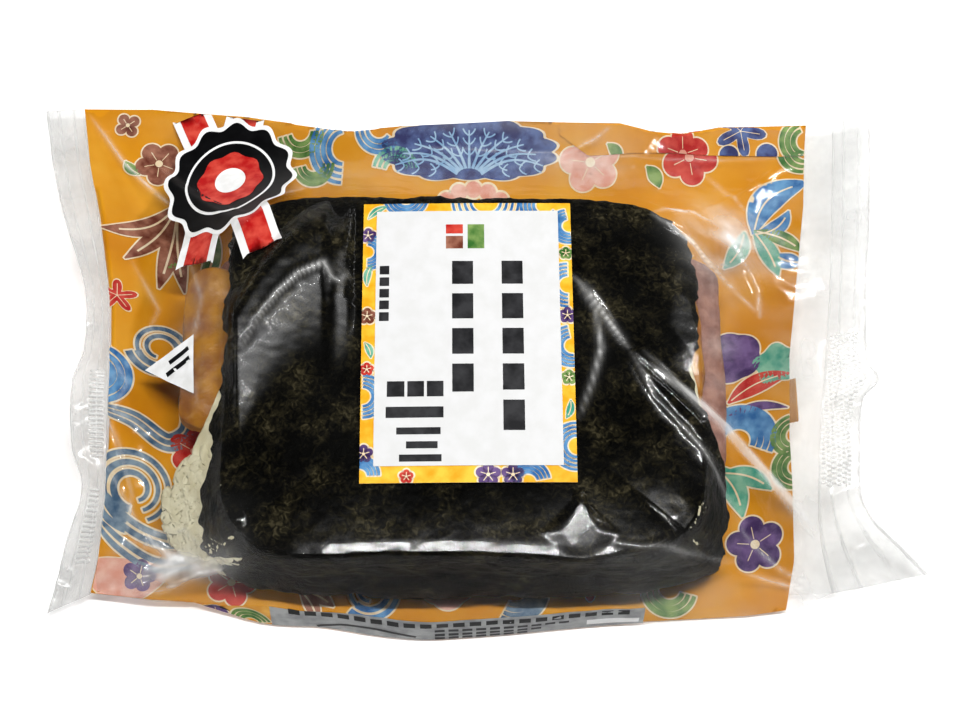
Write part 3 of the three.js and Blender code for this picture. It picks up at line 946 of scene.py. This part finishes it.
def section_ring(x, half_x, half_y, top, bottom, count):
    """The block's outline in the YZ plane at x, as evenly spaced points, anticlockwise from the far side."""
    taper = (1 - min(abs(x) / half_x, 0.9995) ** BLOCK["plan_power"]) ** (1 / BLOCK["plan_power"])
    middle = (top + bottom) / 2
    a = np.linspace(0, 2 * math.pi, 721)
    def bend(value, power):
        return np.sign(value) * np.abs(value) ** (2 / power)
    upper = np.sin(a) >= 0
    power = np.where(upper, BLOCK["top_power"], BLOCK["low_power"])
    y = half_y * taper * bend(np.cos(a), power)
    z = middle + (top - bottom) / 2 * taper**0.35 * bend(np.sin(a), power)
    length = np.concatenate([[0], np.cumsum(np.hypot(np.diff(y), np.diff(z)))])
    even = np.linspace(0, length[-1], count, endpoint=False)
    return np.stack([np.full(count, x), np.interp(even, length, y), np.interp(even, length, z)], 1)


# How far each end of the seaweed and of the rice reaches out past its plain form: Y and reach
NORI_LEFT = [(-41, 3), (-34, 3.4), (-26, 3.4), (-15, 1.6), (-5, -0.6), (3, -1.2), (12, -0.4), (25, -0.4), (40, -2)]
RICE_LEFT = [(-41, 3), (-34, 5), (-26, 6), (-15, 3.2), (-9, 0), (0, -4), (30, -5), (41, -5)]
NORI_RIGHT = [
    (-41, 2), (-34, 4.4), (-27, 5), (-20, 3.4), (-12, 0), (0, -2.2), (10, -0.6), (22, -0.8), (30, -2.6), (36, -6),
    (41, -9),
]
RICE_RIGHT = [(-41, -2), (-27, 1), (-15, -2), (0, -5), (20, -5), (36, -9), (41, -11)]


# The block's near side sags outward below this height
SAG = {"height": 16, "reach": 4.6}


def sag_out(grid):
    """Lets the near side of the seaweed lean out toward the table."""
    low = np.clip(1 - grid[..., 2] / SAG["height"], 0, 1) * np.clip(-grid[..., 1] / BLOCK["half_y"], 0, 1) ** 3
    grid[..., 1] -= SAG["reach"] * low
    return grid


def reach_out(grid, left, right):
    """Gives the block's ends their uneven outline."""
    x, y = grid[..., 0], grid[..., 1]
    to_left, to_right = (np.interp(y, *np.array(reach, float).T) for reach in (left, right))
    grid[..., 0] = x - np.clip(-x / 50, 0, 1) ** 2 * to_left + np.clip(x / 50, 0, 1) ** 3 * to_right
    return grid


def tuck(points, gap):
    """Keeps points at least a gap below the upper film and above the lower one."""
    points = np.array(points, float)
    flat = points.reshape(-1, 3)
    flat[:, 2] = [min(max(z, drop(UNDER_TREE, x, y) + gap), drop(TOP_TREE, x, y) - gap) for x, y, z in flat]
    return points


def build_nori():
    """The sheet of seaweed round the block, crinkled over the rice, with torn edges."""
    along, around = 160, 270
    half_x, half_y, top, bottom = (BLOCK[key] for key in ("half_x", "half_y", "top", "bottom"))
    grid = np.array([section_ring(x, half_x, half_y, top, bottom, around) for x in np.linspace(*NORI_ENDS, along)])
    grid = sag_out(reach_out(grid, NORI_LEFT, NORI_RIGHT))
    normal = grid_normals(grid, True)
    outward = np.sign(np.sum(normal * (grid - np.array((0, 0, 16))), axis=2, keepdims=True))
    normal = normal * np.where(outward == 0, 1, outward)
    relief = 0.9 * noise_at(grid, 11, 1.0) + 0.4 * (1 - 2.4 * np.abs(noise_at(grid, 5, 2.0)))
    relief += 0.2 * noise_at(grid, 2.2, 3.0)
    grid = grid + normal * (relief - 0.35)[..., None]
    ends = np.abs(np.linspace(-1, 1, along)) ** 14
    grid[..., 0] += ends[:, None] * (1.6 * noise_at(grid, 6, 6.0) + 0.9 * noise_at(grid, 1.8, 7.0))
    points = tuck(grid, 0.4).reshape(-1, 3)
    faces = grid_faces(along, around, wrap=True)
    new_piece("nori_wrap", points, faces, NORI)


def nori_material():
    """Pressed dried seaweed: black green, flecked and pitted, with a fibrous sheen."""
    material, tree, output = new_material("nori")
    patch = noise_node(tree, 8, detail=4)
    fleck = noise_node(tree, 1.5, detail=6, distortion=1.2)
    both = add_node(tree, "ShaderNodeMath", {0: patch.outputs["Fac"], 1: fleck.outputs["Fac"]}, operation="MULTIPLY")
    color = ramp(tree, both.outputs["Value"], [
        (0.20, (0.001, 0.001, 0.0005, 1)), (0.27, (0.009, 0.0078, 0.004, 1)), (0.34, (0.024, 0.0205, 0.010, 1)),
        (0.42, (0.065, 0.056, 0.032, 1))])
    fine = noise_node(tree, 0.8, detail=5, distortion=0.8)
    coarse = noise_node(tree, 2.8, detail=4, distortion=0.6)
    normal = bump_of(tree, coarse.outputs["Fac"], 1.1)
    normal = bump_of(tree, fine.outputs["Fac"], 0.35, normal=normal)
    shader = add_node(tree, "ShaderNodeBsdfPrincipled", {
        "Base Color": color.outputs["Color"], "Roughness": 0.5, "Normal": normal, "Specular IOR Level": 0.03})
    tree.links.new(shader.outputs["BSDF"], output.inputs["Surface"])
    return material


NORI = nori_material()
RICE = mottled("rice", [(0.35, srgb(198, 190, 158)), (0.65, srgb(224, 218, 190))], 4, 0.36, 0.12, 1.2)
EGG = mottled("egg", [(0.35, srgb(138, 82, 4)), (0.65, srgb(178, 124, 14))], 5, 0.45, 0.25, 1.6)
PORK = mottled("pork", [(0.35, srgb(122, 78, 64)), (0.65, srgb(158, 116, 100))], 3, 0.45, 0.2, 1.1)


def closed_rings(name, rings, material, relief):
    """A closed body from rings, its ends drawn together to their middles."""
    grid = np.array(rings)
    centre = grid.mean(axis=1)
    normal = grid_normals(grid, True)
    facing = np.sign(np.sum(normal * (grid - grid.mean(axis=(0, 1))), axis=2, keepdims=True))
    grid = tuck(grid + normal * np.where(facing == 0, 1, facing) * relief(grid)[..., None], 0.8)
    count, around, _ = grid.shape
    points = np.vstack([grid.reshape(-1, 3), centre[:1], centre[-1:]])
    faces = grid_faces(count, around, wrap=True)
    first, last = count * around, count * around + 1
    faces += [(first, (c + 1) % around, c) for c in range(around)]
    faces += [(last, (count - 1) * around + c, (count - 1) * around + (c + 1) % around) for c in range(around)]
    return new_piece(name, points, faces, material), grid


def build_rice_core():
    half_x = 53
    t = np.linspace(-1, 1, 90)
    xs = half_x * 0.9993 * np.sign(t) * (1 - (1 - np.abs(t)) ** 1.6)
    rings = [section_ring(x, half_x, BLOCK["half_y"] - 0.8, BLOCK["top"] - 1.4, BLOCK["bottom"] + 0.8, 150) for x in xs]
    rings = reach_out(np.array(rings), RICE_LEFT, RICE_RIGHT)
    return closed_rings("rice_core", rings, RICE,
                        lambda g: 0.5 * (1 - 2 * np.abs(noise_at(g, 3.4, 4.0))) - 0.5)[1]


def slab_rings(x_low, x_high, y_low, y_high, z_low, z_high, count, around):
    """Rings of a soft-edged slab that runs along X."""
    t = np.linspace(-1, 1, count)
    middle = np.array([(x_low + x_high) / 2, (y_low + y_high) / 2, (z_low + z_high) / 2])
    half = np.array([x_high - x_low, y_high - y_low, z_high - z_low]) / 2
    a = np.linspace(0, 2 * math.pi, around, endpoint=False)
    rings = []
    for step in t:
        x = 0.9995 * np.sign(step) * (1 - (1 - abs(step)) ** 2)
        taper = (1 - abs(x) ** 14) ** (1 / 5)
        y = np.sign(np.cos(a)) * np.abs(np.cos(a)) ** 0.35 * (1 - (1 - taper) * 0.6)
        z = np.sign(np.sin(a)) * np.abs(np.sin(a)) ** 0.5 * taper
        rings.append(middle + half * np.stack([np.full(around, x), y, z], 1))
    return rings


def build_fillings():
    def wavy(amount, seed):
        return lambda g: amount * (2.4 * noise_at(g, 13, seed) + noise_at(g, 5, seed + 1) + 0.4 * noise_at(g, 2, seed))
    closed_rings("egg_sheet", slab_rings(-60, 50.5, -12, 27, 16.5, 24.5, 70, 64), EGG, wavy(0.8, 11.0))
    closed_rings("pork_slice", slab_rings(-55, 55.6, -27, 34, 11, 18, 70, 64), PORK, wavy(0.5, 15.0))


SPILL = {"y": -29, "spread": 11, "reach": 6, "top": 16}


def grain(rng, centre, normal):
    """One cooked grain: a plump rod with rounded ends, laid nearly flat on the surface it sticks to."""
    rings, around = 7, 8
    length, width = rng.uniform(2.5, 3.3), rng.uniform(1.15, 1.45)
    axis = Vector(normal).orthogonal().normalized()
    axis = Matrix.Rotation(rng.uniform(0, 2 * math.pi), 3, Vector(normal)) @ axis
    axis = (axis + Vector(normal) * rng.uniform(-0.35, 0.35)).normalized()
    side = axis.orthogonal().normalized()
    up = axis.cross(side)
    points = []
    for i in range(rings):
        t = -1 + 2 * i / (rings - 1)
        size = width * (1 - abs(t) ** 2.6) ** 0.5 if abs(t) < 1 else 0.12
        for k in range(around):
            a = 2 * math.pi * k / around
            points.append(tuple(Vector(centre) + axis * (t * length) + (side * math.cos(a) + up * math.sin(a)) * size))
    faces = grid_faces(rings, around, wrap=True)
    faces += [tuple(range(around - 1, -1, -1)), tuple(range((rings - 1) * around, rings * around))]
    return points, faces


def rice_shows(hand, y, z):
    """Whether grains show at a place on the left (-1) or right (1) end, clear of the egg and the pork."""
    if hand < 0:
        return y < -17 or z < 9 or (y > 32 and z < 24)
    return z < 9 or y < -28


def build_rice_grains(core):
    """Grains on the two open ends of the block, spilling out at the near left corner."""
    rng = np.random.default_rng(7)
    tree = tree_of(core)
    points, faces = [], []
    for hand in (-1, 1):
        for y in np.arange(-39, 39, 2.4):
            for z in np.arange(2.0, 31, 2.2):
                py, pz = y + rng.uniform(-1, 1), z + rng.uniform(-0.9, 0.9)
                hit = tree.ray_cast(Vector((hand * 80, py, pz)), Vector((-hand, 0, 0)))
                if hit[0] is None or abs(hit[0].x) < 44 or not rice_shows(hand, py, pz):
                    continue
                normal = hit[1] if hit[1].x * hand > 0 else -hit[1]
                spill = SPILL["reach"] * math.exp(-((py - SPILL["y"]) / SPILL["spread"]) ** 2) if hand < 0 else 0
                for depth in np.arange(0, spill + 0.1, 2.2):
                    at = hit[0] + Vector((hand * depth, 0, 0)) - normal * 0.2
                    at.z = min(at.z, SPILL["top"] + (pz - SPILL["top"]) * (1 - depth / 8)) if depth else at.z
                    new_points, new_faces = grain(rng, at, normal)
                    faces += [tuple(len(points) + i for i in face) for face in new_faces]
                    points += new_points
    new_piece("rice_grains", tuck(points, 0.5), faces, RICE)


# Label
LABEL_PAPER = mottled("label_paper", [(0.3, srgb(213, 213, 212)), (0.7, srgb(218, 218, 218))], 20, 0.42,
                      Specular_IOR_Level=0.2)


def build_label():
    across, along = 40, 56
    u = np.linspace(-LABEL["width"] / 2, LABEL["width"] / 2, across)
    v = np.linspace(-LABEL["length"] / 2, LABEL["length"] / 2, along)
    flat = turn_to_label(u[None, :] + 1j * v[:, None]).ravel()
    low = np.stack([flat.real, flat.imag, top_height(flat.real, flat.imag) + LABEL["gap"]], 1)
    points = np.vstack([low + np.array((0, 0, LABEL["thickness"])), low])
    piece = new_piece("label_sheet", points, slab_faces(along, across), LABEL_PAPER)
    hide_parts("label")


def rectangle(canvas, ink, layer, x0, y0, x1, y1, step=2.0):
    """A filled rectangle of flat points."""
    nx, ny = max(2, int(abs(x1 - x0) / step) + 1), max(2, int(abs(y1 - y0) / step) + 1)
    canvas.add(ink, layer, np.linspace(x0, x1, nx)[None, :] + 1j * np.linspace(y0, y1, ny)[:, None])


def build_badge():
    """A plain medal with two ribbon tails, printed on the upper film."""
    badge = Canvas("badge", "printed_film", place_on_top)
    centre, radius, stretch = BADGE["centre"], BADGE["radius"], BADGE["stretch"]
    for start, end, width in BADGE["ribbons"]:
        path, way = bow_path(start, end, 0, 30), (end - start) / abs(end - start)
        across = np.linspace(-0.5, 0.5, 9)
        for ink, layer, wide, cut in (("white", 1, width, 0.0), ("red", 2, width - 3.4, 1.6)):
            grid = path[:, None] + 1j * way * across[None, :] * wide
            grid[-1] += way * ((np.abs(across) - 0.5) * BADGE["notch"] - cut)
            badge.add(ink, layer, grid)
    for step, (ink, share, scallops) in enumerate(BADGE["discs"]):
        outline = (lambda a, n=scallops: 1 + 0.05 * np.cos(n * a)) if scallops else round_outline
        blob(badge, ink, centre, radius * share, outline, stretch=stretch, halo=0, layer=LINE_LAYER + 1 + step)
    badge.finish()


def build_tag():
    """A small white pointed tag at the left, with two plain bars."""
    tag = Canvas("tag", "printed_film", place_on_top)
    corners = [-68.2+4.2j, -57.2+9.6j, -56.4-4j]
    middle = sum(corners) / 3
    edge = np.concatenate([np.linspace(a, b, 9)[:-1] for a, b in zip(corners, corners[1:] + corners[:1])])
    edge = np.append(edge, edge[0])
    tag.add("white", 1, middle + np.linspace(0, 1, 5)[:, None] * (edge - middle)[None, :])
    strip(tag, "black", 2, bow_path(-62.5+4.4j, -58.2+6.6j, 0, 5), 1.1, 3)
    strip(tag, "black", 2, bow_path(-63+1.8j, -57.8+4.2j, 0, 5), 1.1, 3)
    tag.finish()


# The lower film's motifs, each with its ink and place
BLOSSOMS = [
    ("pink", 29+62j, 7, 5, 0.5), ("brown", -78.7+72j, 3, 4, 0.6), ("brown", -71+62.5j, 5.5, 5, 0.9),
    ("red", -58.5-9.5j, 5.4, 5, 0.2, "pink"), ("purple", -69-37j, 3.6, 5, 0.1), ("red", 52+63.5j, 6.5, 5, 1.1, "pink"),
    ("purple", 62.4-30j, 6, 5, 0.5),
]
# Ink, centre, radius, start and sweep in degrees, lines and their width
WAVES = [
    ("blue", -28+65j, 7.5, 95, 170, 4, 1.1), ("blue", -20+69j, 5, 180, 150, 3, 1.0),
    ("green", -38+69j, 5, 190, 170, 3, 1.1), ("green", -35+62j, 4.5, 190, 170, 3, 1.1),
    ("teal", -16+60j, 5, 10, 160, 3, 1.0), ("blue", -79+4.5j, 6.5, -80, 150, 3, 1.5),
    ("green", 79+65j, 6, 110, 150, 3, 1.3), ("blue", 59.5-7j, 7.4, -30, 200, 4, 1.6),
    ("green", 71-8j, 4.4, 100, 160, 3, 1.0), ("green", 71-15j, 4.4, 100, 160, 3, 1.0),
]
# Ink, foot, tip, width, bow and vein
LEAVES = [
    ("green", -75.2+59.4j, -78.6+62.6j, 2.6, 0.1, 0.2), ("brown", -66+52.5j, -81.5+42j, 4.6, 0.14, 0.5),
    ("brown", -66+52.5j, -76+35j, 4.4, 0.06, 0.5), ("brown", -66+52.5j, -68.5+29j, 4.6, 0.02, 0.5),
    ("brown", -66+52.5j, -63+29j, 4.0, -0.04, 0.5), ("green", -57+46j, -67+35j, 3.6, 0.05, 0.5),
    ("green", -57+46j, -60+30j, 3.6, 0.05, 0.5), ("green", 42+61j, 45+56.5j, 3.2, 0.1, 0),
    ("blue", 66+44j, 79+56j, 7, 0.22, 0.4), ("blue", 66+44j, 74+49j, 4, -0.2, 0.4),
    ("teal", 66+45j, 70.5+32j, 4, 0.05, 0.4), ("teal", 64+45j, 59+36j, 4.4, 0.1, 0.4),
    ("green", 66+45j, 76+37j, 3.4, 0.1, 0.4), ("blue", 76+34j, 70+38j, 4, 0.1, 0.4),
    ("red", 58+2j, 71+6.5j, 4.6, 0.1, 0.3), ("purple", 58-1j, 70-1.5j, 2, 0.12, 0),
    ("teal", 54-12j, 60-24j, 5, 0.1, 0.4), ("teal", 56-14j, 66-19j, 4, 0.1, 0.4),
]
# Ink, points, lines, their width and gap
STREAMS = [
    ("slate", [-77-3.5j, -71-4.6j, -64-8.4j, -60-5j, -61+3j], 3, 1.1, 1.5),
    ("slate", [-77-21j, -71-27j, -63-29.5j, -57-28j], 2, 1.3, 1.9),
    ("slate", [-77.5-27j, -73-31j, -66-34.5j, -58-34j], 2, 1.3, 1.9),
]


def print_back():
    """The traditional water, pine, bamboo and blossom pattern of the lower film."""
    back = Canvas("print", "printed_film", place_on_back)
    pine_cloud(back, 1+64.4j, 19, 7)
    for step in range(7):
        blob(back, "pink", 2+47j + 9 * np.exp(1j * math.radians(25 + 21.7 * step)), 1.9, halo=0.5)
    for draw, motifs in ((arcs, WAVES), (blossom, BLOSSOMS), (leaf, LEAVES), (stream, STREAMS)):
        for motif in motifs:
            draw(back, *motif)
    maple(back, "red", -76.5+24.5j, 4.2, 0.4)
    maple(back, "indigo", 64.4+68.5j, 5, 0.2)
    swirl(back, "slate", -67+13.5j, 6.5, 200, 1.15, 1.5, 1.9, 2)
    swirl(back, "slate", -70.5-19.5j, 8.5, 100, 0.9, 1.6, 2.1, 3, -1)
    blob(back, "pink", -72-38j, 8, lambda a: 1 + 0.1 * np.sin(3 * a), stretch=0.6, layer=UNDER_FILL)
    blob(back, "purple", 59.5+13j, 5.6, lambda a: 1 + 0.12 * np.abs(np.sin(2.5 * a)))
    blob(back, "teal", 68.5+9.5j, 4.6, lambda a: 1 + 0.12 * np.sin(5 * a))
    scatter(back)
    back.finish()


def scatter(canvas):
    """Smaller motifs in loose rows over the rest of the lower film, seen from below."""
    rng = np.random.default_rng(11)
    for row, y in enumerate(range(-38, 44, 13)):
        for column, x in enumerate(range(-48, 56, 15)):
            at = complex(x + 5 * (row % 2) + rng.uniform(-2, 2), y + rng.uniform(-2, 2))
            turn = rng.uniform(0, 6.28)
            kind = (row * 3 + column * 2) % 7
            if kind == 0:
                blossom(canvas, ("red", "purple", "brown")[column % 3], at, 5.4, 5, turn)
            elif kind == 1:
                arcs(canvas, "slate", at, 6.5, rng.uniform(0, 360), 200, 4, 1.3)
            elif kind == 2:
                ink = "brown" if column % 2 else "teal"
                for step in (-0.6, 0, 0.6):
                    leaf(canvas, ink, at, at + 8 * np.exp(1j * (turn + step)), 3, 0.08, 0.4)
            elif kind == 3:
                maple(canvas, "red" if column % 2 else "indigo", at, 5, turn)
            elif kind == 4:
                swirl(canvas, "blue", at, 6.2, rng.uniform(0, 360), 1.1, 1.4, 1.9, 2)
            elif kind == 5:
                arcs(canvas, "green", at, 5.5, rng.uniform(0, 360), 170, 3, 1.3)
            else:
                blob(canvas, "pink", at, 5, lambda a: 1 + 0.14 * np.abs(np.sin(2.5 * a)), turn)


def draped(name, xs, low, high, rows, tree, lift, material):
    """A printed sheet on one of the films, between two lines given as y by x."""
    t = np.linspace(0, 1, rows)[:, None]
    y = low(xs) + (high(xs) - low(xs)) * t
    x = np.broadcast_to(xs, y.shape)
    grid = np.stack([x, y, drops(tree, x, y) + lift], 2)
    new_piece(name, grid.reshape(-1, 3), grid_faces(rows, len(xs)), material)


# The doubled print: its near line, its ends along X and how far it lies above the lower film
FAR_BAND = [(22, 68), (28.6, 63.4), (50, 64.1), (78.8, 63.4)]
FAR_ENDS, FAR_LIFT = (22, 78.6), 0.3


def build_far_band():
    """At the far right the printed film is doubled over inside the bag."""
    band_x, band_y = np.array(FAR_BAND).T
    draped("far_band", np.linspace(*FAR_ENDS, 90), lambda x: np.interp(x, band_x, band_y),
           lambda x: np.interp(x, *FAR_LIMIT) - 0.4, 16, UNDER_TREE, FAR_LIFT, PRINTED)
    band = Canvas("far_print", "printed_film", place_on_far_band)
    blossom(band, "red", 50.5+64j, 6, 5, 0.35, "pink")
    maple(band, "indigo", 64+69.5j, 6, -1.4)
    blob(band, "indigo", 61.2+64j, 2.2)
    blob(band, "indigo", 70+64.2j, 2.4)
    arcs(band, "green", 79+67j, 5.5, 110, 150, 3, 1.2)
    arcs(band, "green", 79.5+60j, 5, 110, 150, 3, 1.2)
    leaf(band, "green", 33+66j, 36+62j, 2.6, 0.1, 0)
    band.finish()


def place_on_far_band(flat, layer):
    """The doubled print at the far right."""
    band_x, band_y = np.array(FAR_BAND).T
    x = np.clip(flat.real, *FAR_ENDS)
    y = np.clip(flat.imag, np.interp(x, band_x, band_y), np.interp(x, *FAR_LIMIT) - 0.5)
    return (np.stack([x, y, drops(UNDER_TREE, x, y) + FAR_LIFT + 0.02 + PRINT_STEP * layer], 1),)


NEAR_BAND = [(-60, 1.2), (-50, 4.6), (-40, 8.6), (-20, 10.4), (20, 10.6), (38, 9.6)]


def near_patch(canvas, ink, layer, x_low, x_high):
    """A stretch of the near band, over its whole height."""
    x = np.linspace(x_low, x_high, int((x_high - x_low) / 1.5) + 2)
    top = np.interp(x, *np.array(NEAR_BAND).T) - 0.8
    t = np.linspace(0, 1, 8)[:, None]
    canvas.add(ink, layer, x[None, :] + 1j * (0.8 + top[None, :] * t))


def build_near_band():
    """On the near side the printed film comes up over the edge, with a pale panel of plain bars."""
    near = Canvas("near_print", "printed_film", place_on_near)
    near_patch(near, "orange", 0, -53, -38)
    near_patch(near, "grey", 1, -40.6, 38)
    arcs(near, "green", -45+0.6j, 4.2, 20, 150, 3, 0.9)
    blossom(near, "purple", -52.6+1.6j, 2.8, 5, 0.3)
    leaf(near, "black", -55+2.6j, -49.5+2.8j, 0.9, 0.2, 0, 0)
    for step in range(21):
        left = -36.6 + step * 3.45
        rectangle(near, "black", 2, left, 7.2, left + 2.4, 9.3, 1.2)
    for z, count in [(5.3, 10), (3.3, 8), (1.6, 7)]:
        for step in range(count):
            left = -6 + step * 2.9
            rectangle(near, "charcoal", 2, left, z - 0.55, left + 2.1, z + 0.6, 1.0)
    rectangle(near, "white", 2, 26, 2.6, 37, 5.2)
    stroke(near, "charcoal", bow_path(-31+1.6j, -10+2.4j, 0.12, 14), 1.0, 0)
    near.finish()


PANEL = (-19.2, -28.1, 19.3, 29.7)
PANEL_LAYER, BAR_LAYER = 6, 7
# Boxes on the label: left, near, right and far
LABEL_BARS = [
    (7.2, 12.2, 11.6, 17.6), (7.2, 4.2, 11.6, 10.0), (7.2, -3.8, 11.6, 2.0), (7.2, -11.8, 11.6, -6.0),
    (7.2, -20.6, 11.6, -14.0), (-3.2, 12.2, 1.2, 17.6), (-3.2, 4.2, 1.2, 10.0), (-3.2, -3.8, 1.2, 2.0),
    (-3.2, -12.2, 1.2, -6.0), (-16.6, -13.2, -13, -9.8), (-12.4, -13.2, -9, -9.8), (-8.4, -13.2, -5, -9.8),
    (-16.8, -17.8, -5, -15.4), (-14.6, -21.4, -5.6, -19.9), (-12.6, -24.4, -6.2, -22.9), (-14, -27.2, -5.4, -25.7),
]
LABEL_PATCHES = [("red", -4.5, 24.2, -0.9, 26.4), ("brown", -4.5, 20.6, -0.9, 23.6), ("green", 0.1, 20.6, 3.6, 26.4)]
# Centre, radius and start in degrees
LABEL_WAVES = [
    (4+32j, 7, 180), (-13+33j, 4.5, 180), (16.5+31j, 5, 150), (21.5+26j, 4, 100), (21+12j, 5, 90), (21.5-2j, 4.5, 100),
    (22-24j, 5, 90), (-21.5-13j, 4.6, 270), (-21+20j, 4, 270), (12-31.5j, 4.4, 10), (-22-30j, 4, 0),
]
# Ink, centre and radius
LABEL_BLOSSOMS = [
    ("purple", -21+24j, 1.8), ("purple", -21.2-25.4j, 2), ("purple", 20.8+5j, 1.9), ("purple", 4-30j, 2.6),
    ("red", -20.8-7j, 1.5), ("green", 20.8-9j, 1.7), ("brown", -20.9+5j, 1.9), ("red", -12.5-30.3j, 1.5),
    ("purple", 9-30j, 2.4), ("green", 20.8+19.5j, 1.5),
]
LABEL_LEAVES = [(-21+12j, -20+17j), (-21.3-1j, -20-4.5j), (21-14j, 20-18j), (-21+28j, -17+31j)]


def build_label_print():
    """A patterned border round a plain panel, with bars where the words would be."""
    canvas = Canvas("label_print", "label_paper", place_on_label)
    half_w, half_l = LABEL["width"] / 2, LABEL["length"] / 2
    rectangle(canvas, "ochre", 0, -half_w, -half_l, half_w, half_l, 2.5)
    for centre, radius, start in LABEL_WAVES:
        arcs(canvas, "blue", centre, radius, start, 180, 4, 0.75, 0.3)
    for ink, centre, radius in LABEL_BLOSSOMS:
        blossom(canvas, ink, centre, radius, 5, 0.3)
    for foot, tip in LABEL_LEAVES:
        leaf(canvas, "teal", foot, tip, 1.5, 0.1, 0.2, 0.25)
    rectangle(canvas, "paper", PANEL_LAYER, *PANEL, 3)
    for box in LABEL_BARS:
        rectangle(canvas, "charcoal", BAR_LAYER, *box, 2.5)
    for step in range(5):
        rectangle(canvas, "charcoal", BAR_LAYER, -18.4, 14.6 - 2.7 * step, -16.4, 16.6 - 2.7 * step, 1)
    for ink, *box in LABEL_PATCHES:
        rectangle(canvas, ink, BAR_LAYER, *box, 1.2)
    canvas.finish()


# Stage, light and camera
def build_stage():
    data = bpy.data.meshes.new("floor")
    data.from_pydata([(-2, -2, 0), (2, -2, 0), (2, 2, 0), (-2, 2, 0)], [], [(0, 1, 2, 3)])
    floor = bpy.data.objects.new("floor", data)
    bpy.context.scene.collection.objects.link(floor)
    data.materials.append(mottled("floor_paper", [(0.4, (0.9, 0.9, 0.9, 1)), (0.6, (0.92, 0.92, 0.92, 1))], 60, 0.9,
                                  Specular_IOR_Level=0.1, Emission_Color=(1, 1, 1, 1), Emission_Strength=0.18))


def area_light(name, place, aim, width, height, power):
    data = bpy.data.lights.new(name, "AREA")
    data.shape = "RECTANGLE"
    data.size, data.size_y = width, height
    data.energy = power
    light = bpy.data.objects.new(name, data)
    light.location = place
    light.rotation_euler = (Vector(aim) - Vector(place)).to_track_quat("-Z", "Y").to_euler()
    bpy.context.scene.collection.objects.link(light)


# The room's glow: share of the height and grey
SKY = [(0.0, 0.24), (0.45, 0.14), (0.8, 0.015)]
# Softboxes: place, what they point at, width and height, all in metres, and watts
LIGHTS = {
    "top_box": ((0.12, 0, 0.9), (0.12, 0, 0), 0.58, 0.055, 6.6),
    "left_box": ((-0.75, -0.1, 0.5), (0, 0, 0.02), 0.05, 0.12, 1.3),
    "right_box": ((0.47, 0.62, 0.41), (0, 0, 0.02), 0.09, 0.12, 2.2),
    "side_box": ((0.42, 0.27, 0.58), (0, 0, 0.02), 0.06, 0.06, 0.4),
}


def build_lights():
    """A room that is pale toward the horizon and dim above, with softboxes overhead and at the sides."""
    world = bpy.data.worlds.new("studio")
    world.use_nodes = True
    tree = world.node_tree
    place = add_node(tree, "ShaderNodeTexCoord")
    height = add_node(tree, "ShaderNodeSeparateXYZ", {0: place.outputs["Generated"]})
    glow = ramp(tree, height.outputs["Z"], [(share, (grey, grey, grey, 1)) for share, grey in SKY])
    tree.links.new(glow.outputs["Color"], tree.nodes["Background"].inputs["Color"])
    tree.nodes["Background"].inputs["Strength"].default_value = 1.0
    bpy.context.scene.world = world
    for name, settings in LIGHTS.items():
        area_light(name, *settings)


VIEW_PITCH = math.radians(23)
VIEW_PLACE = (3.5, -162.92, 419.02)
LENS, SENSOR = 76.04, 36


def build_camera():
    data = bpy.data.cameras.new("camera")
    data.lens = LENS
    data.sensor_width = SENSOR
    data.clip_start = 0.01
    camera = bpy.data.objects.new("camera", data)
    camera.location = [v * MM for v in VIEW_PLACE]
    camera.rotation_euler = (VIEW_PITCH, 0, 0)
    bpy.context.scene.collection.objects.link(camera)
    bpy.context.scene.camera = camera


build_camera()
build_stage()
build_lights()
build_film_top()
build_right_margin()
build_seal("seal_left", LEFT_LINE, LEFT_CUT, [(0.2, 0.6, -35, -20, False), (0.1, 0.5, -14, 6, False)], 21.0)
build_seal("seal_right", RIGHT_LINE, RIGHT_CUT, [(0.08, 0.78, -20, 14, True)], 33.0)
build_print_ground()
print_back()
build_back_seam()
build_far_band()
build_near_band()
build_badge()
build_tag()
build_nori()
core = build_rice_core()
build_fillings()
build_rice_grains(core)
build_label()
build_label_print()

bpy.context.scene.view_settings.view_transform = "Standard"
bpy.context.scene.view_settings.look = "Medium High Contrast"
